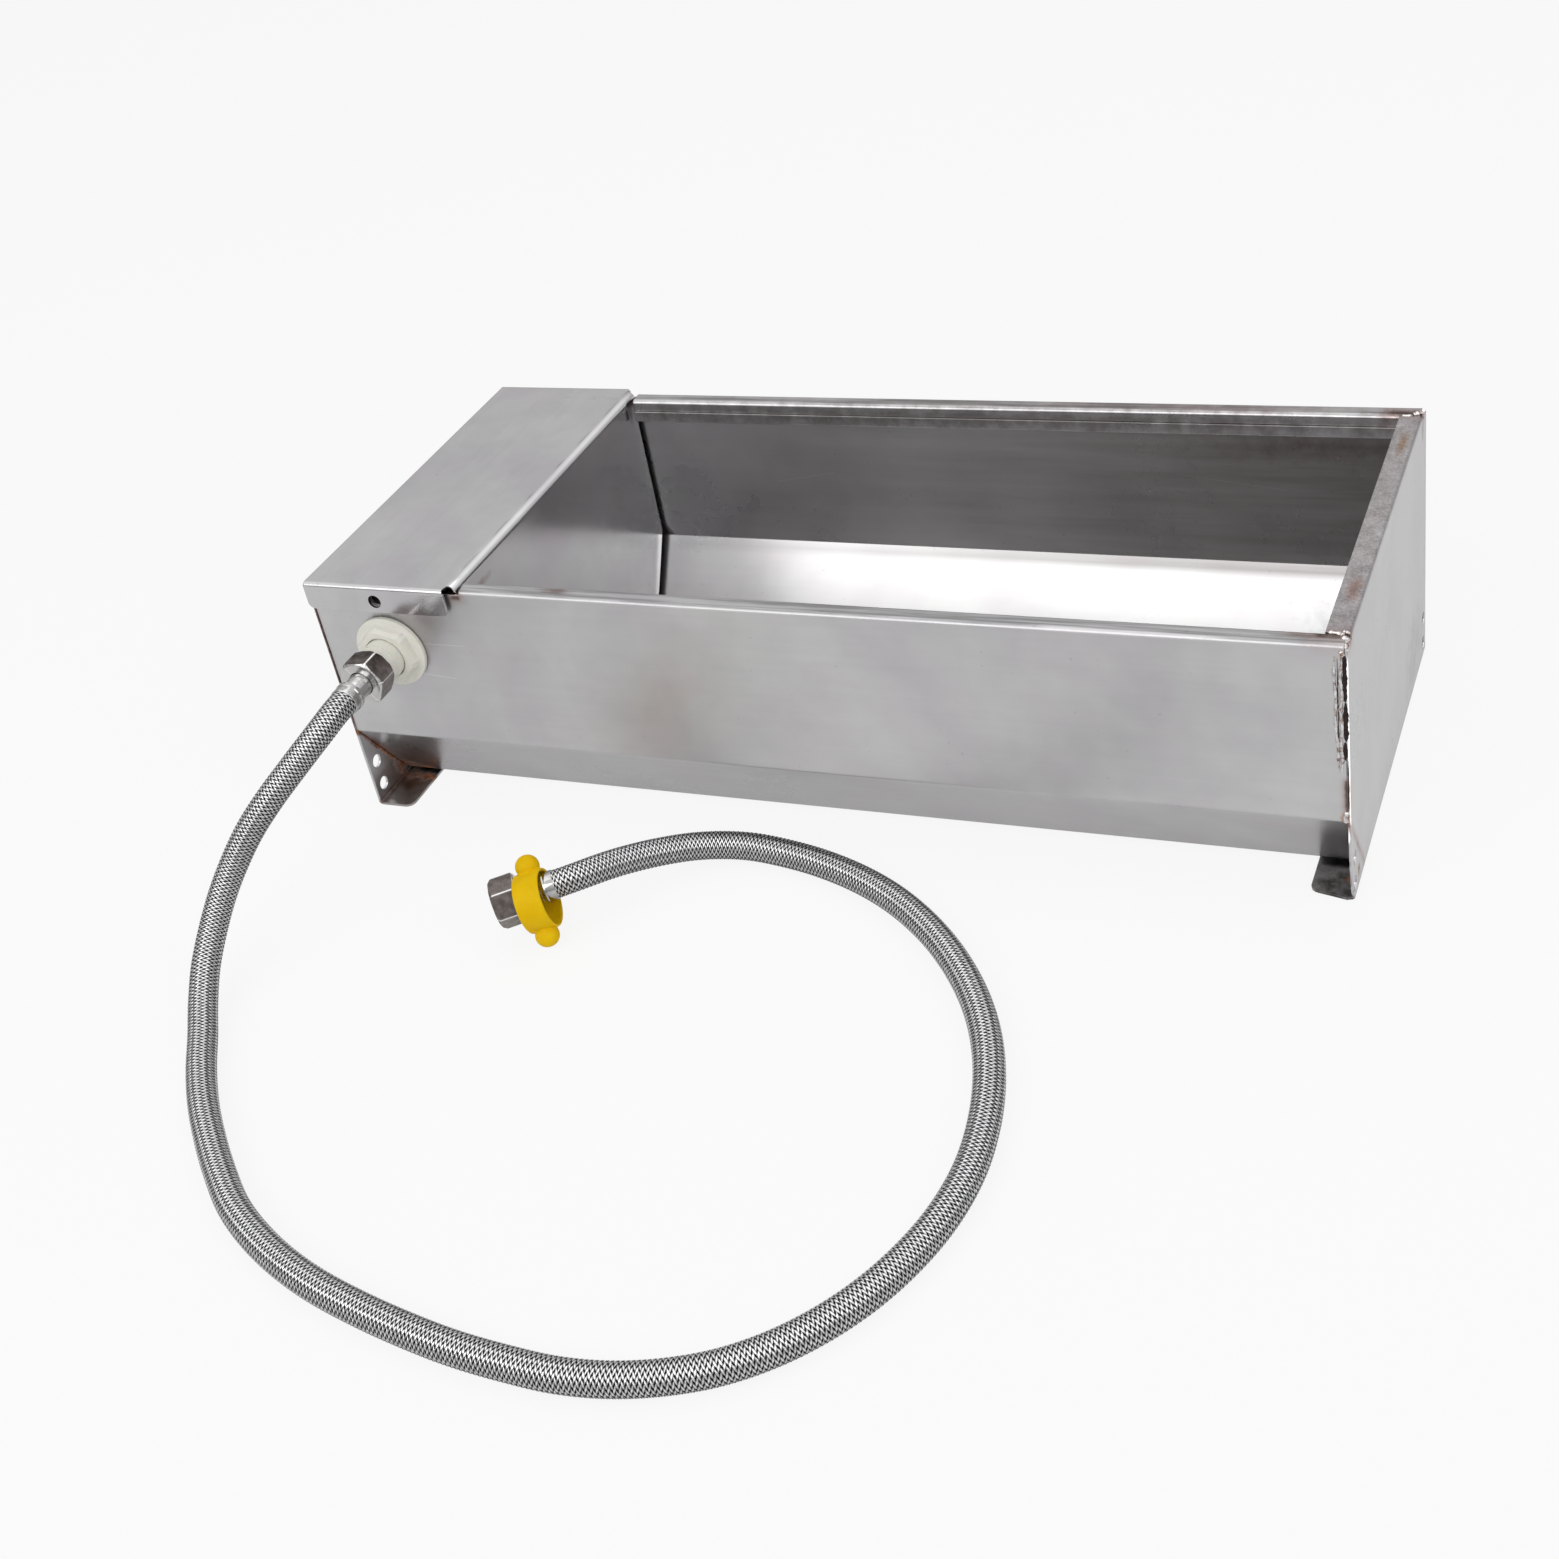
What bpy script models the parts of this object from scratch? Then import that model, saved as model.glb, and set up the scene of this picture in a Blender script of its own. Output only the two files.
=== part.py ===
"""Livestock drinking trough of bent stainless sheet, fed by a float valve and a braided hose.

Metres, +Z up. +X runs along the trough, away from the valve; the hose leaves towards -Y.
The origin is on the ground, under the middle of the box round the rigid pieces.
"""

import math

import bmesh
import bpy
import numpy as np
from mathutils import Matrix, Vector

# Sizes shared by all pieces
GAP = 0.0003  # between two pieces that touch
OVERRUN = 0.004  # how far a cutter runs past what it cuts
WELD = 0.00001
SHEET = 0.0012
BEND_RADIUS = 0.0016  # of the middle of the sheet
ARC_STEPS = 4
ROUND_STEPS = 32
SMOOTH_ANGLE = math.radians(35)

# Trough, folded from one sheet, and its two end panels
LENGTH = 0.500
WIDTH = 0.208
HEIGHT = 0.135
WALL_BEND_HEIGHT = 0.0475
FLOOR_HEIGHT = 0.0035
FLOOR_HALF_WIDTH = 0.074
RIM_WIDTH = 0.0095
LIP_HEIGHT = 0.012
HEM_HEIGHT = 0.006
RIM_SETBACK = 0.0025  # from the cover's flap to the rims
BARE_WALL_DROP = 0.0022  # how far the walls stop short of the rim where the cover goes
TOP_FLANGE = 0.0105
FOOT_FLANGE = 0.020
PANEL_HOLE_RADIUS = 0.0035
PANEL_HOLE_INSET = 0.007
PANEL_HOLE_HEIGHTS = (0.009, 0.023)
FOOT_CORNER_RADIUS = 0.003
FLARED_CORNER_RADIUS = 0.010
FLARED_FOOT_SETBACK = 0.010
FLARED_FOOT_RUN = 0.004

# Cover with its skirts and the baffle flap that closes the valve compartment
COVER_INSET = 0.0005
COVER_LIFT = 0.0015
SKIRT_OFFSET = 0.0031
SKIRT_HEIGHT = 0.0141
SKIRT_CORNER_RADIUS = 0.003
SKIRT_CHAMFER = 0.002
COVER_BEND = 0.0022
ROUND_PROFILE_SHARE = 0.5
COMPARTMENT_LENGTH = 0.0845
RELIEF_LENGTH = 0.0045
RELIEF_RADIUS = 0.003
TAB_HALF_WIDTH = 0.102
TAB_DROP = 0.004
FLAP_CLEARANCE = 0.003
FLAP_TAPER = 0.004
COVER_HOLE_RADIUS = 0.0035
COVER_HOLE_DROP = 0.0081
WELD_NUT_FLATS = 0.010
WELD_NUT_THICKNESS = 0.005
WELD_NUT_BORE = 0.0025

# Valve in the wall: heights run outwards from the wall's outer face
VALVE_INSET = 0.040
VALVE_DROP = 0.0355
STEM_RADIUS = 0.0104775
STEM_END_RADIUS = 0.00975
STEM_END_CHAMFER = 0.0006
WATERWAY_RADIUS = 0.005
WATERWAY_END = -0.005
SHOULDER_RADIUS = 0.015
SHOULDER_THICKNESS = 0.004
GASKET_THICKNESS = 0.002
BODY_RADIUS = 0.011
BODY_LENGTH = 0.0382
PISTON_BORE_RADIUS = 0.0065
OUTLET_RADIUS = 0.0035
OUTLET_OFFSET = 0.0042
BACKNUT_RADIUS = 0.019
BACKNUT_FLANGE = 0.003
BACKNUT_HEIGHT = 0.008
BACKNUT_CHAMFER = 0.0008
LOBE_MEAN_RADIUS = 0.0142
LOBE_DEPTH = 0.0009
LOBES = 6
LOBE_POINTS = 10

# Orifice, piston and seal inside the valve
SEAT_BASE = 0.003
NOZZLE_LENGTH = 0.003
NOZZLE_RADIUS = 0.0035
NOZZLE_TIP_RADIUS = 0.003
ORIFICE_RADIUS = 0.002
PISTON_LENGTH = 0.027
SEAL_RADIUS = 0.0047
SEAL_THICKNESS = 0.003
SEAL_PROUD = 0.0005
PISTON_SLOT = 0.005
PISTON_SLOT_TOP = 0.0015

# Float arm: its pin lies under the valve, and the finger stands up into the piston
PIN_DEPTH = 0.031
PIN_DROP = 0.012
PIN_RADIUS = 0.0015
PIN_HEAD_RADIUS = 0.0028
PIN_HEAD = 0.0012
PIN_TAIL = 0.0015
LUG_RADIUS = 0.005
LUG_THICKNESS = 0.004
LUG_ROOT = 0.0045
CLIP_THICKNESS = 0.0007
CLIP_RADIUS = 0.0032
CLIP_OPENING = math.radians(50)
GROOVE_RADIUS = 0.0011
FLOAT_REST_HEIGHT = 0.0429
ARM_SWING = math.radians(26)
FINGER_LENGTH = 0.009
FINGER_RADIUS = 0.0022
FINGER_NECK = 0.0016
LEVER_WIDTH = 0.0054
LEVER_BOSS = 0.004
LEVER_BAR = 0.003
SLOT_START = 0.007
SOCKET_START = 0.017
SOCKET_LENGTH = 0.018
SOCKET_RADIUS = 0.0045
SOCKET_DEPTH = 0.013
ROD_RADIUS = 0.0025
FLOAT_CENTRE = 0.095
FLOAT_RADIUS = 0.030
FLOAT_LENGTH = 0.056
FLOAT_CORNER = 0.020
FLOAT_SEAM = 0.0006
FLOAT_SEAM_WIDTH = 0.0016
FLOAT_NECK_RADIUS = 0.007
FLOAT_NECK = 0.004
FLOAT_SOCKET = 0.020
FLOAT_NUT_FLATS = 0.009
FLOAT_NUT_THICKNESS = 0.0045

# Hose ends: heights run from the nut's open mouth towards the hose
NUT_FLATS = 0.023
NUT_LENGTH = 0.016
NUT_WALL = 0.0018
NUT_BORE_RADIUS = 0.01005
NUT_HOLE_RADIUS = 0.00625
NUT_END_RADIUS = 0.0108
NUT_CHAMFER_SLOPE = math.tan(math.radians(35))
INLET_NUT_MOUTH = 0.014
INLET_NUT_TURN = math.radians(41)
WASHER_THICKNESS = 0.0015
WASHER_RADIUS = 0.0093
WASHER_BORE_RADIUS = 0.005
COLLAR_RADIUS = 0.0085
COLLAR_THICKNESS = 0.002
BARREL_RADIUS = 0.0054
BARREL_LENGTH = 0.0091
TAIL_NECK_RADIUS = 0.0043
TAIL_BORE_RADIUS = 0.0032
FERRULE_RADIUS = 0.0072
FERRULE_LENGTH = 0.0107
FERRULE_BAND = 0.003
FERRULE_BAND_RADIUS = 0.0076
SUPPLY_COLLAR_DEPTH = 0.0077
SUPPLY_MOUTH = (-0.1273, -0.1913, 0.0193)
SUPPLY_DIRECTION = (0.849, 0.511, 0.134)
SUPPLY_LOBES = (-0.314, 0.33, 0.889)
GRIP_START = 0.013
GRIP_LENGTH = 0.012
GRIP_WALL = 0.0011
GRIP_LOBE_RADIUS = 0.0059
GRIP_LOBE_CENTRE = 0.0175
GRIP_LOBE_FLATNESS_SHARE = 0.78
GRIP_LOBE_SEGMENTS = 20

# Braided hose: where it runs, between its two ends, in the trough's own frame
HOSE_RADIUS = 0.007
HOSE_SIDES_RESOLUTION = 3
HOSE_STEP = 4 * HOSE_RADIUS
HOSE_LEAD = 0.003  # straight run at each end, square to the ferrule
HOSE_EXIT = (-0.210, -0.1523, 0.0995)  # where the route below was laid from
HOSE_FALL_POINTS = 10  # how many of them follow the valve if its place changes
HOSE_ROUTE = [
    (-0.2125, -0.1725, 0.0957),
    (-0.2207, -0.1880, 0.0862),
    (-0.2300, -0.2005, 0.0755),
    (-0.2395, -0.2090, 0.0635),
    (-0.2475, -0.2170, 0.0505),
    (-0.2520, -0.2280, 0.0385),
    (-0.2530, -0.2415, 0.0270),
    (-0.2500, -0.2570, 0.0180),
    (-0.2430, -0.2730, 0.0115),
    (-0.2320, -0.2910, 0.0083),
    (-0.2200, -0.3100, 0.0073),
    (-0.2050, -0.3300, 0.0073),
    (-0.1890, -0.3480, 0.0073),
    (-0.1720, -0.3650, 0.0073),
    (-0.1550, -0.3800, 0.0073),
    (-0.1270, -0.3970, 0.0073),
    (-0.1000, -0.4080, 0.0073),
    (-0.0740, -0.4150, 0.0073),
    (-0.0490, -0.4200, 0.0073),
    (-0.0250, -0.4235, 0.0073),
    (-0.0020, -0.4250, 0.0073),
    (0.0210, -0.4250, 0.0073),
    (0.0410, -0.4220, 0.0073),
    (0.0600, -0.4160, 0.0073),
    (0.0780, -0.4070, 0.0073),
    (0.0930, -0.3955, 0.0073),
    (0.1065, -0.3810, 0.0073),
    (0.1180, -0.3640, 0.0073),
    (0.1270, -0.3450, 0.0073),
    (0.1340, -0.3220, 0.0073),
    (0.1370, -0.2970, 0.0073),
    (0.1350, -0.2690, 0.0073),
    (0.1280, -0.2395, 0.0073),
    (0.1155, -0.2100, 0.0073),
    (0.0970, -0.1820, 0.0073),
    (0.0735, -0.1570, 0.0073),
    (0.0470, -0.1375, 0.0073),
    (0.0190, -0.1245, 0.0073),
    (-0.0080, -0.1175, 0.0075),
    (-0.0320, -0.1170, 0.0093),
    (-0.0520, -0.1245, 0.0126),
    (-0.0680, -0.1370, 0.0164),
    (-0.0800, -0.1505, 0.0200),
]

# Sizes that follow from the ones above
HALF_LENGTH = LENGTH / 2
HALF_WIDTH = WIDTH / 2
COVER_TOP = HEIGHT + COVER_LIFT
COVER_HOLE_HEIGHT = COVER_TOP - COVER_HOLE_DROP
FLAP_X = -HALF_LENGTH + COMPARTMENT_LENGTH
RIM_START_X = FLAP_X + RIM_SETBACK
VALVE_X = -HALF_LENGTH + VALVE_INSET
VALVE_HEIGHT = HEIGHT - VALVE_DROP
SEAT_BASE_RADIUS = PISTON_BORE_RADIUS - GAP
PISTON_RADIUS = PISTON_BORE_RADIUS - GAP
WALL_HOLE_RADIUS = STEM_RADIUS + GAP
SEAT_TIP = WATERWAY_END - GAP - SEAT_BASE - NOZZLE_LENGTH
ARM_REST = -math.asin((VALVE_HEIGHT - PIN_DROP - FLOAT_REST_HEIGHT) / FLOAT_CENTRE)
LEAN = ARM_SWING / 2
FINGER_ANGLE = math.pi / 2 - ARM_REST - LEAN  # upright halfway through the swing
TRAVEL = 2 * FINGER_LENGTH * math.sin(LEAN)
PISTON_CLOSED = SEAT_TIP - GAP - SEAL_PROUD
PISTON_REST = PISTON_CLOSED - TRAVEL
SHOULDER_START = -SHEET - 2 * GAP - GASKET_THICKNESS
BODY_START = SHOULDER_START - SHOULDER_THICKNESS
BODY_END = BODY_START - BODY_LENGTH
COLLAR_DEPTH = NUT_LENGTH - NUT_WALL - GAP - COLLAR_THICKNESS
STEM_REACH = INLET_NUT_MOUTH + COLLAR_DEPTH - 2 * GAP - WASHER_THICKNESS
LUG_INNER = LEVER_WIDTH / 2 + 2 * GAP
LUG_OUTER = LUG_INNER + LUG_THICKNESS
GRIP_RADIUS = NUT_FLATS / 2 / math.cos(math.radians(30)) + GAP
TROUGH_Y = (STEM_REACH - SKIRT_OFFSET) / 2

# Turns that lay a flat outline in another plane, as the columns of a rotation
IN_YZ = Matrix(((0, 0, 1), (1, 0, 0), (0, 1, 0))).to_4x4()
IN_XZ = Matrix(((1, 0, 0), (0, 0, -1), (0, 1, 0))).to_4x4()


# Outlines
def arc(centre, radius, start, end, steps=ARC_STEPS):
    """Points of an arc, both ends included, angles in radians."""
    angles = np.linspace(start, end, steps + 1)
    return [(centre[0] + radius * math.cos(a), centre[1] + radius * math.sin(a)) for a in angles]


def rounded(points, radius):
    """An open line whose inner corners become arcs; the radius shrinks where a leg is short."""
    line = [Vector(point) for point in points]
    result = [line[0]]
    for before, corner, after in zip(line, line[1:], line[2:]):
        to_before = (before - corner).normalized()
        to_after = (after - corner).normalized()
        half = to_before.angle(to_after) / 2
        leg = min(radius / math.tan(half), (before - corner).length / 2, (after - corner).length / 2)
        middle = corner + (to_before + to_after).normalized() * leg / math.cos(half)
        first = corner + to_before * leg - middle
        sweep = first.angle_signed(corner + to_after * leg - middle)
        for step in range(ARC_STEPS + 1):
            turn = Matrix.Rotation(-sweep * step / ARC_STEPS, 2)
            result.append(middle + turn @ first)
    result.append(line[-1])
    return [a for a, b in zip(result, result[1:]) if (a - b).length > WELD] + [result[-1]]


def strip(points, thickness):
    """The closed outline of a sheet whose middle follows an open line."""
    legs = [(b - a).normalized() for a, b in zip(points, points[1:])]
    left, right = [], []
    for point, before, after in zip(points, legs[:1] + legs, legs + legs[-1:]):
        mean = (before + after).normalized()
        side = Vector((-mean.y, mean.x)) * thickness / 2 / mean.dot(after)
        left.append(point + side)
        right.append(point - side)
    return left + right[::-1]


def hexagon(flats, turn=0):
    """Corners of a hexagon; a flat faces the angle given by turn."""
    corner = flats / 2 / math.cos(math.pi / 6)
    angles = [turn + math.pi / 6 + k * math.pi / 3 for k in range(6)]
    return [(corner * math.cos(a), corner * math.sin(a)) for a in angles]


def basin_line():
    """Middle line of the trough's section: hem, lip, rim, wall, slope and half the floor, twice."""
    wall = HALF_WIDTH - SHEET / 2
    lip = HALF_WIDTH - RIM_WIDTH + SHEET / 2
    hem = lip - SHEET - GAP
    rim_height = HEIGHT - SHEET / 2
    lip_end = HEIGHT - LIP_HEIGHT + SHEET / 2
    half = [
        (hem, HEIGHT - LIP_HEIGHT + HEM_HEIGHT),
        (hem, lip_end),
        (lip, lip_end),
        (lip, rim_height),
        (wall, rim_height),
        (wall, WALL_BEND_HEIGHT),
        (FLOOR_HALF_WIDTH, FLOOR_HEIGHT + SHEET / 2),
    ]
    return [(-y, z) for y, z in half] + half[::-1]


# Objects
def collection(name):
    found = bpy.data.collections.new(name)
    bpy.context.scene.collection.children.link(found)
    return found


def axis(name, parent=None, matrix=None):
    """An empty that carries the pieces built round one axis."""
    empty = bpy.data.objects.new(name, None)
    PARTS.objects.link(empty)
    empty.parent = parent
    empty.matrix_local = matrix or Matrix()
    return empty


def place(obj, parent, material=None, at=(0, 0, 0)):
    """Puts a piece under its parent, or a cutter if it has no material."""
    (PARTS if material else CUTTERS).objects.link(obj)
    obj.parent = parent
    obj.location = at
    if material:
        obj.data.materials.clear()
        obj.data.materials.append(MATERIALS[material])
    else:
        obj.hide_render = True
        obj.display_type = "WIRE"
    return obj


def from_bmesh(name, mesh):
    data = bpy.data.meshes.new(name)
    mesh.to_mesh(data)
    mesh.free()
    return bpy.data.objects.new(name, data)


def plate(name, outline, thickness, matrix=None):
    """A flat outline given a thickness, half to each side, as one closed mesh."""
    curve = bpy.data.curves.new(name, "CURVE")
    curve.dimensions = "2D"
    curve.fill_mode = "BOTH"
    curve.extrude = thickness / 2
    spline = curve.splines.new("POLY")
    spline.points.add(len(outline) - 1)
    for point, (u, v) in zip(spline.points, outline):
        point.co = (u, v, 0, 1)
    spline.use_cyclic_u = True
    guide = bpy.data.objects.new(name, curve)
    bpy.context.scene.collection.objects.link(guide)
    guide.matrix_world = matrix or Matrix()
    bpy.context.view_layer.update()
    graph = bpy.context.evaluated_depsgraph_get()
    shape = bmesh.new()
    shape.from_mesh(bpy.data.meshes.new_from_object(guide.evaluated_get(graph)))
    bmesh.ops.remove_doubles(shape, verts=shape.verts, dist=WELD)
    bmesh.ops.recalc_face_normals(shape, faces=shape.faces)
    shape.transform(guide.matrix_world)
    bpy.data.objects.remove(guide)
    return from_bmesh(name, shape)


def turned(name, profile):
    """A solid turned about Z from a profile that runs down its outer side."""
    data = bpy.data.meshes.new(name)
    edges = [(i, i + 1) for i in range(len(profile) - 1)]
    if profile[0][0] > 0:
        edges.append((len(profile) - 1, 0))
    data.from_pydata([(r, 0, z) for r, z in profile], edges, [])
    obj = bpy.data.objects.new(name, data)
    screw = obj.modifiers.new("turn", "SCREW")
    screw.steps = screw.render_steps = ROUND_STEPS
    screw.use_merge_vertices = True
    screw.merge_threshold = WELD
    return obj


def rod(name, radius, start, end):
    """A cylinder from one point to another."""
    start, end = Vector(start), Vector(end)
    span = end - start
    matrix = Matrix.Translation((start + end) / 2) @ span.to_track_quat("Z", "Y").to_matrix().to_4x4()
    shape = bmesh.new()
    bmesh.ops.create_cone(
        shape, cap_ends=True, segments=ROUND_STEPS, radius1=radius, radius2=radius,
        depth=span.length, matrix=matrix,
    )
    return from_bmesh(name, shape)


def block(name, low, high):
    """A box between two opposite corners."""
    low, high = Vector(low), Vector(high)
    shape = bmesh.new()
    bmesh.ops.create_cube(shape, size=1)
    shape.transform(Matrix.Translation((low + high) / 2) @ Matrix.Diagonal((high - low).to_4d()))
    return from_bmesh(name, shape)


def boolean(obj, other, operation="DIFFERENCE"):
    step = obj.modifiers.new(other.name, "BOOLEAN")
    step.operation = operation
    step.object = other


def make_materials():
    looks = {
        "stainless": ((0.62, 0.62, 0.63), 0.34, 1.0),
        "chrome": ((0.78, 0.78, 0.79), 0.12, 1.0),
        "brass": ((0.72, 0.55, 0.28), 0.30, 1.0),
        "white_plastic": ((0.82, 0.82, 0.77), 0.45, 0.0),
        "yellow_plastic": ((0.86, 0.60, 0.02), 0.45, 0.0),
        "float_plastic": ((0.80, 0.80, 0.79), 0.50, 0.0),
        "rubber": ((0.03, 0.03, 0.03), 0.80, 0.0),
        "braid": ((0.66, 0.66, 0.67), 0.28, 1.0),
    }
    found = {}
    for name, (colour, roughness, metallic) in looks.items():
        found[name] = bpy.data.materials.new(name)
        found[name].use_nodes = True
        shader = found[name].node_tree.nodes["Principled BSDF"]
        shader.inputs["Base Color"].default_value = (*colour, 1)
        shader.inputs["Roughness"].default_value = roughness
        shader.inputs["Metallic"].default_value = metallic
    return found


# Trough and end panels
def make_trough(trough, stem_hole, screw_holes):
    length = LENGTH - 2 * SHEET - 2 * GAP
    section = strip(rounded(basin_line(), BEND_RADIUS), SHEET)
    shell = place(plate("trough_shell", section, length, IN_YZ), trough, "stainless")
    # The rim, lip and hem stop where the cover begins, and the walls go on with bare edges.
    bare_top = HEIGHT - BARE_WALL_DROP
    low = (-HALF_LENGTH - OVERRUN, -HALF_WIDTH - OVERRUN, bare_top)
    high = (RIM_START_X, HALF_WIDTH + OVERRUN, HEIGHT + OVERRUN)
    boolean(shell, place(block("rim_cut", low, high), trough))
    inside = HALF_WIDTH - RIM_WIDTH + 2 * SHEET
    low = (-HALF_LENGTH - OVERRUN, -inside, HEIGHT - LIP_HEIGHT - OVERRUN)
    high = (RIM_START_X, inside, HEIGHT - SHEET)
    boolean(shell, place(block("lip_cut", low, high), trough))
    boolean(shell, stem_hole)
    boolean(shell, screw_holes)
    return shell


def panel_line(side):
    """Middle line of an end panel in the XZ plane: top flange, plate and foot."""
    plate_x = HALF_LENGTH - SHEET / 2
    line = [
        (HALF_LENGTH - TOP_FLANGE, HEIGHT - SHEET / 2),
        (plate_x, HEIGHT - SHEET / 2),
        (plate_x, SHEET / 2),
        (HALF_LENGTH - FOOT_FLANGE, SHEET / 2),
    ]
    return [(side * x, z) for x, z in line]


def make_panel(trough, name, side):
    section = strip(rounded(panel_line(side), BEND_RADIUS), SHEET)
    panel = place(plate(name, section, WIDTH, IN_XZ), trough, "stainless")
    for end in (-1, 1):
        for number, height in enumerate(PANEL_HOLE_HEIGHTS):
            y = end * (HALF_WIDTH - PANEL_HOLE_INSET)
            line = [(side * (HALF_LENGTH + reach), y, height) for reach in (-OVERRUN, OVERRUN)]
            hole = rod(f"{name}_hole_{end}_{number}", PANEL_HOLE_RADIUS, *line)
            boolean(panel, place(hole, trough))
    return panel


def make_left_panel(trough):
    """The left foot's free corners are rounded."""
    panel = make_panel(trough, "left_end_panel", -1)
    inner = -HALF_LENGTH + FOOT_FLANGE
    beyond_x = inner + OVERRUN
    beyond_y = HALF_WIDTH + OVERRUN
    centre = (inner - FOOT_CORNER_RADIUS, HALF_WIDTH - FOOT_CORNER_RADIUS)
    outline = [(beyond_x, centre[1])] + arc(centre, FOOT_CORNER_RADIUS, 0, math.pi / 2)
    outline += [(centre[0], beyond_y), (beyond_x, beyond_y)]
    for end in (-1, 1):
        cut = plate(f"foot_corner_{end}", [(x, end * y) for x, y in outline], 2 * OVERRUN)
        boolean(panel, place(cut, trough))
    return panel


def make_right_panel(trough):
    """The right panel's top flange fits between the rims, and its front foot is cut back."""
    panel = make_panel(trough, "right_end_panel", 1)
    between = HALF_WIDTH - RIM_WIDTH - GAP
    plate_inside = HALF_LENGTH - SHEET
    beyond = HALF_WIDTH + OVERRUN
    for end, (near, far) in enumerate([(-beyond, -between), (between, beyond)]):
        low = (HALF_LENGTH - TOP_FLANGE - OVERRUN, near, HEIGHT - LIP_HEIGHT)
        high = (plate_inside, far, HEIGHT + OVERRUN)
        boolean(panel, place(block(f"flange_end_{end}", low, high), trough))
    foot = [
        (HALF_LENGTH - FOOT_FLANGE - OVERRUN, -HALF_WIDTH + FLARED_FOOT_SETBACK),
        (HALF_LENGTH - FOOT_FLANGE, -HALF_WIDTH + FLARED_FOOT_SETBACK),
        (HALF_LENGTH + OVERRUN, -HALF_WIDTH + FLARED_FOOT_RUN),
        (HALF_LENGTH + OVERRUN, -HALF_WIDTH - OVERRUN),
        (HALF_LENGTH - FOOT_FLANGE - OVERRUN, -HALF_WIDTH - OVERRUN),
    ]
    boolean(panel, place(plate("foot_cut", foot, 2 * (SHEET + BEND_RADIUS)), trough))
    centre = (-HALF_WIDTH + FLARED_CORNER_RADIUS, FLARED_CORNER_RADIUS)
    round_off = arc(centre, FLARED_CORNER_RADIUS, -math.pi / 2, -math.pi)
    round_off.append((-HALF_WIDTH - OVERRUN, FLARED_CORNER_RADIUS))
    round_off.append((-HALF_WIDTH - OVERRUN, -OVERRUN))
    round_off.append((-HALF_WIDTH + FLARED_CORNER_RADIUS, -OVERRUN))
    turn = Matrix.Translation((HALF_LENGTH, 0, 0)) @ IN_YZ
    boolean(panel, place(plate("corner_cut", round_off, 2 * OVERRUN, turn), trough))
    return panel


# Cover
def make_cover(trough, screw_holes):
    """One sheet bent three ways: the top's outer face is drawn, folded down and thickened."""
    left = -HALF_LENGTH + COVER_INSET
    skirt_end = FLAP_X - RELIEF_LENGTH
    front = HALF_WIDTH + SKIRT_OFFSET
    outline = [
        (left, -front), (skirt_end, -front), (skirt_end, -TAB_HALF_WIDTH), (FLAP_X, -TAB_HALF_WIDTH),
        (FLAP_X, TAB_HALF_WIDTH), (skirt_end, TAB_HALF_WIDTH), (skirt_end, front), (left, front),
    ]
    shape = bmesh.new()
    corners = [shape.verts.new((x, y, COVER_TOP)) for x, y in outline]
    top = shape.faces.new(corners)
    folds = [top.edges[0], top.edges[3], top.edges[6]]
    for fold in (folds[0], folds[2]):
        fold_down(shape, fold, SKIRT_HEIGHT)
    bottom = fold_down(shape, folds[1], TAB_DROP + COVER_BEND)
    inner_wall = HALF_WIDTH - SHEET - FLAP_CLEARANCE
    inner_floor = FLOOR_HEIGHT + SHEET + FLAP_CLEARANCE
    slope = (FLOOR_HALF_WIDTH - inner_wall) / (inner_floor - WALL_BEND_HEIGHT)
    floor_half = FLOOR_HALF_WIDTH - FLAP_CLEARANCE
    for height, half in (
        (COVER_TOP - TAB_DROP - COVER_BEND - FLAP_TAPER, inner_wall),
        (WALL_BEND_HEIGHT + FLAP_CLEARANCE / abs(slope), inner_wall),
        (inner_floor, floor_half),
    ):
        bottom = fold_down(shape, bottom, 0)
        for corner in bottom.verts:
            corner.co.y = math.copysign(half, corner.co.y)
            corner.co.z = height
    bmesh.ops.bevel(
        shape, geom=folds, offset=COVER_BEND, offset_type="OFFSET", segments=ARC_STEPS,
        profile=ROUND_PROFILE_SHARE, affect="EDGES",
    )
    skirt_bottom = COVER_TOP - SKIRT_HEIGHT
    for side, size, steps in ((skirt_end, SKIRT_CORNER_RADIUS, ARC_STEPS), (left, SKIRT_CHAMFER, 1)):
        low_points = [v for v in shape.verts if abs(v.co.z - skirt_bottom) < WELD]
        tips = [v for v in low_points if abs(v.co.x - side) < WELD]
        bmesh.ops.bevel(
            shape, geom=tips, offset=size, offset_type="OFFSET", segments=steps,
            profile=ROUND_PROFILE_SHARE, affect="VERTICES",
        )
    bmesh.ops.recalc_face_normals(shape, faces=shape.faces)
    shape.normal_update()
    if max(shape.faces, key=lambda face: face.calc_area()).normal.z < 0:
        bmesh.ops.reverse_faces(shape, faces=shape.faces)
    cover = place(from_bmesh("valve_cover", shape), trough, "stainless")
    skin = cover.modifiers.new("sheet", "SOLIDIFY")
    skin.thickness = SHEET
    skin.offset = -1
    skin.use_even_offset = True
    boolean(cover, screw_holes)
    for end in (-1, 1):
        x = FLAP_X - RELIEF_LENGTH / 2
        y = end * (TAB_HALF_WIDTH + RELIEF_RADIUS)
        line = [(x, y, height) for height in (COVER_TOP - COVER_BEND, COVER_TOP + OVERRUN)]
        boolean(cover, place(rod(f"relief_{end}", RELIEF_RADIUS, *line), trough))
    return cover


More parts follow.
